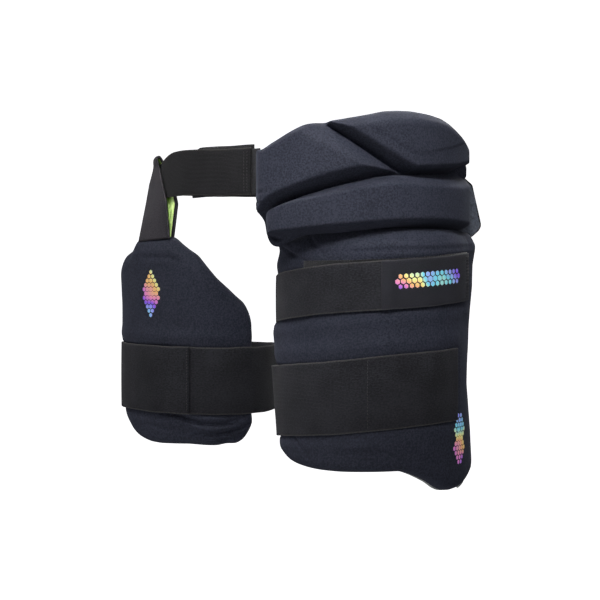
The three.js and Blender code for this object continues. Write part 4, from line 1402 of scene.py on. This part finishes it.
def foil_comb(name, thing, centre, middle, counts, pitch, slot, slope=0.0):
    """counts gives the cells in each row from the top, middle the (angle, height) of the comb's centre, and
    slope how far it climbs for each metre sideways."""
    tree = face_tree(thing)
    plates = []
    for row, count in enumerate(counts):
        up = (len(counts) / 2 - 0.5 - row) * pitch * math.sqrt(3) / 2
        for cell in range(count):
            sideways = (cell - (count - 1) / 2) * pitch
            angle = middle[0] + math.degrees(sideways / PANEL_OUTER)
            place, normal = drop_on_leg(tree, centre, angle, middle[1] + up + slope * sideways)
            fade = 1 - 0.45 * abs(row - (len(counts) - 1) / 2) / len(counts)
            fade -= 0.2 * abs(sideways) / (max(counts) * pitch)
            turned = Vector(normal).to_track_quat("Z", "Y").to_euler()
            size = pitch * 0.54 * fade
            bpy.ops.mesh.primitive_cylinder_add(
                vertices=6, radius=size, depth=FOIL_THICKNESS, location=place, rotation=turned
            )
            plates.append(bpy.context.object)
    for other in list(bpy.context.selected_objects):
        other.select_set(False)
    for plate in plates:
        plate.select_set(True)
    bpy.context.view_layer.objects.active = plates[0]
    bpy.ops.object.join()
    comb = bpy.context.object
    bpy.ops.object.transform_apply(location=True, rotation=True, scale=True)
    comb.name = name
    comb.data.name = name
    finish_piece(comb, diffraction_foil, slot)
    only(comb)
    bpy.ops.object.shade_flat()
    print(name, "has", sum(counts), "hexagons")


INNER_CELLS = (1, 2, 3, 4, 5, 4, 5, 4, 3, 2, 1)
REAR_CELLS = (2, 3, 4, 5, 4, 3, 4, 5, 4, 3, 2)
foil_comb("foil_comb_inner", inner_pad, -LEG_OFFSET, (-1.0, -0.129), INNER_CELLS, 0.0056, "pad_fabric")
foil_comb("foil_comb_tab", strap_tab, LEG_OFFSET, (66.5, -0.1145), (13, 14, 13), 0.0060, "smooth_tab", 0.09)
foil_comb("foil_comb_rear", thigh_panel, LEG_OFFSET, (92.5, -0.281), REAR_CELLS, 0.0056, "pad_fabric")

# %% [markdown]
# Backdrop, light and camera. The guard hangs in front of a plain white bowl, lit softly from above and
# in front, as in a product studio. The camera stands level, 1.5 m away, turned 35 degrees to the
# wearer's left.

# %% Backdrop
STUDIO_FLOOR = -1.1
WALL_RADIUS = 4.0
COVE_RADIUS = 1.2


def white_bowl():
    """A round floor that curves up into a wall on every side, so that each view has the same ground."""
    profile = [(0.05, STUDIO_FLOOR)]
    for t in np.linspace(0, math.pi / 2, 10):
        out = WALL_RADIUS - COVE_RADIUS + COVE_RADIUS * math.sin(t)
        profile.append((out, STUDIO_FLOOR + COVE_RADIUS * (1 - math.cos(t))))
    profile.append((WALL_RADIUS, 5.0))
    turns = np.linspace(0, 2 * math.pi, 64, endpoint=False)
    points = [(out * math.cos(t), out * math.sin(t), height) for out, height in profile for t in turns]
    count = len(turns)
    faces = ring_faces(len(profile), count)
    faces.append(tuple(range(count)))
    mesh = bpy.data.meshes.new("white_bowl")
    mesh.from_pydata(points, [], faces)
    material, tree, shader = new_material("white painted cove")
    shader.inputs["Base Color"].default_value = linear("#FBFBFB")
    shader.inputs["Roughness"].default_value = 0.95
    shader.inputs["Emission Color"].default_value = linear("#FFFFFF")
    shader.inputs["Emission Strength"].default_value = 1.0
    mesh.materials.append(material)
    bowl = new_object("white_bowl", mesh)
    smooth(bowl)
    bowl.visible_diffuse = False
    bowl.visible_glossy = False
    bowl.visible_shadow = False


white_bowl()
print("ground set out to", WALL_RADIUS, "m")


# %% [markdown]
# Lights. A small key from above and to the right, with a narrow spread, makes the pool of light on the
# hip. Soft light from above picks out the tilted tops, a weak fill from below opens the bevels, and two
# lights from the side and the back keep the far edges apart from the ground.

# %% Lights
def soft_light(name, place, target, size, watts, spread=180):
    lamp = bpy.data.lights.new(name, "AREA")
    lamp.spread = math.radians(spread)
    lamp.shape = "SQUARE"
    lamp.size = size
    lamp.energy = watts
    thing = bpy.data.objects.new(name, lamp)
    bpy.context.scene.collection.objects.link(thing)
    thing.location = place
    thing.rotation_euler = (Vector(target) - Vector(place)).to_track_quat("-Z", "Y").to_euler()
    thing.visible_camera = False


HIP_MIDDLE = (0.08, 0.0, 0.0)
HIP_SIDE = (0.17, -0.09, 0.06)
GUARD_MIDDLE = (0.0, 0.0, -0.13)
INNER_NECK = (-0.08, -0.09, -0.08)
soft_light("key_above_front", (0.42, -0.66, 0.62), HIP_SIDE, 0.35, 0.73, 25)
soft_light("top_soft", (-0.35, -0.5, 1.3), INNER_NECK, 0.4, 3.4, 70)
soft_light("fill_low_front", (-0.15, -1.2, -1.0), HIP_MIDDLE, 1.0, 9.5)
soft_light("rim_left", (1.7, -0.2, 0.5), GUARD_MIDDLE, 0.9, 5)
soft_light("back_top", (-0.2, 1.3, 1.2), GUARD_MIDDLE, 1.2, 30)
print("lights:", len(bpy.data.lights))

# %% [markdown]
# The air gives the even light of a white room, darker towards the horizon so that upright faces stay
# dark.

# %% Air
world = bpy.data.worlds.new("studio air")
bpy.context.scene.world = world
world.use_nodes = True
air = world.node_tree
direction = add_node(air, "ShaderNodeTexCoord").outputs["Generated"]
rise = add_node(air, "ShaderNodeSeparateXYZ", {"Vector": direction}).outputs["Z"]
share = add_node(air, "ShaderNodeMapRange", {"Value": rise, "From Min": -0.9, "From Max": 0.9}).outputs[0]
heights = [(0.0, "#E6E8F2"), (0.3, "#B4B6C0"), (0.5, "#74767E"), (1.0, "#F4F5FA")]
sky = add_node(air, RAMP, {"Fac": share}, stops=heights).outputs["Color"]
background = air.nodes["Background"]
air.links.new(sky, background.inputs["Color"])
background.inputs["Strength"].default_value = 0.30
print("the air's strength is", round(background.inputs["Strength"].default_value, 2))

# %% [markdown]
# The camera stands level, where the widths of the straps in the photograph put it.

# %% Camera
DISTANCE = 1.5
TURN = math.radians(35)
FOCAL_PIXELS = 1318
FRAME_PIXELS = 600
camera_data = bpy.data.cameras.new("camera")
camera_data.sensor_width = 36
camera_data.lens = 36 * FOCAL_PIXELS / FRAME_PIXELS
camera_data.shift_x = 0.025
camera = bpy.data.objects.new("camera", camera_data)
bpy.context.scene.collection.objects.link(camera)
camera.location = (DISTANCE * math.sin(TURN), -DISTANCE * math.cos(TURN), -0.1363)
camera.rotation_euler = (math.radians(90), 0, TURN)
bpy.context.scene.camera = camera
bpy.context.scene.view_settings.view_transform = "Standard"
print("lens", round(camera_data.lens, 1), "mm, from", DISTANCE, "m")
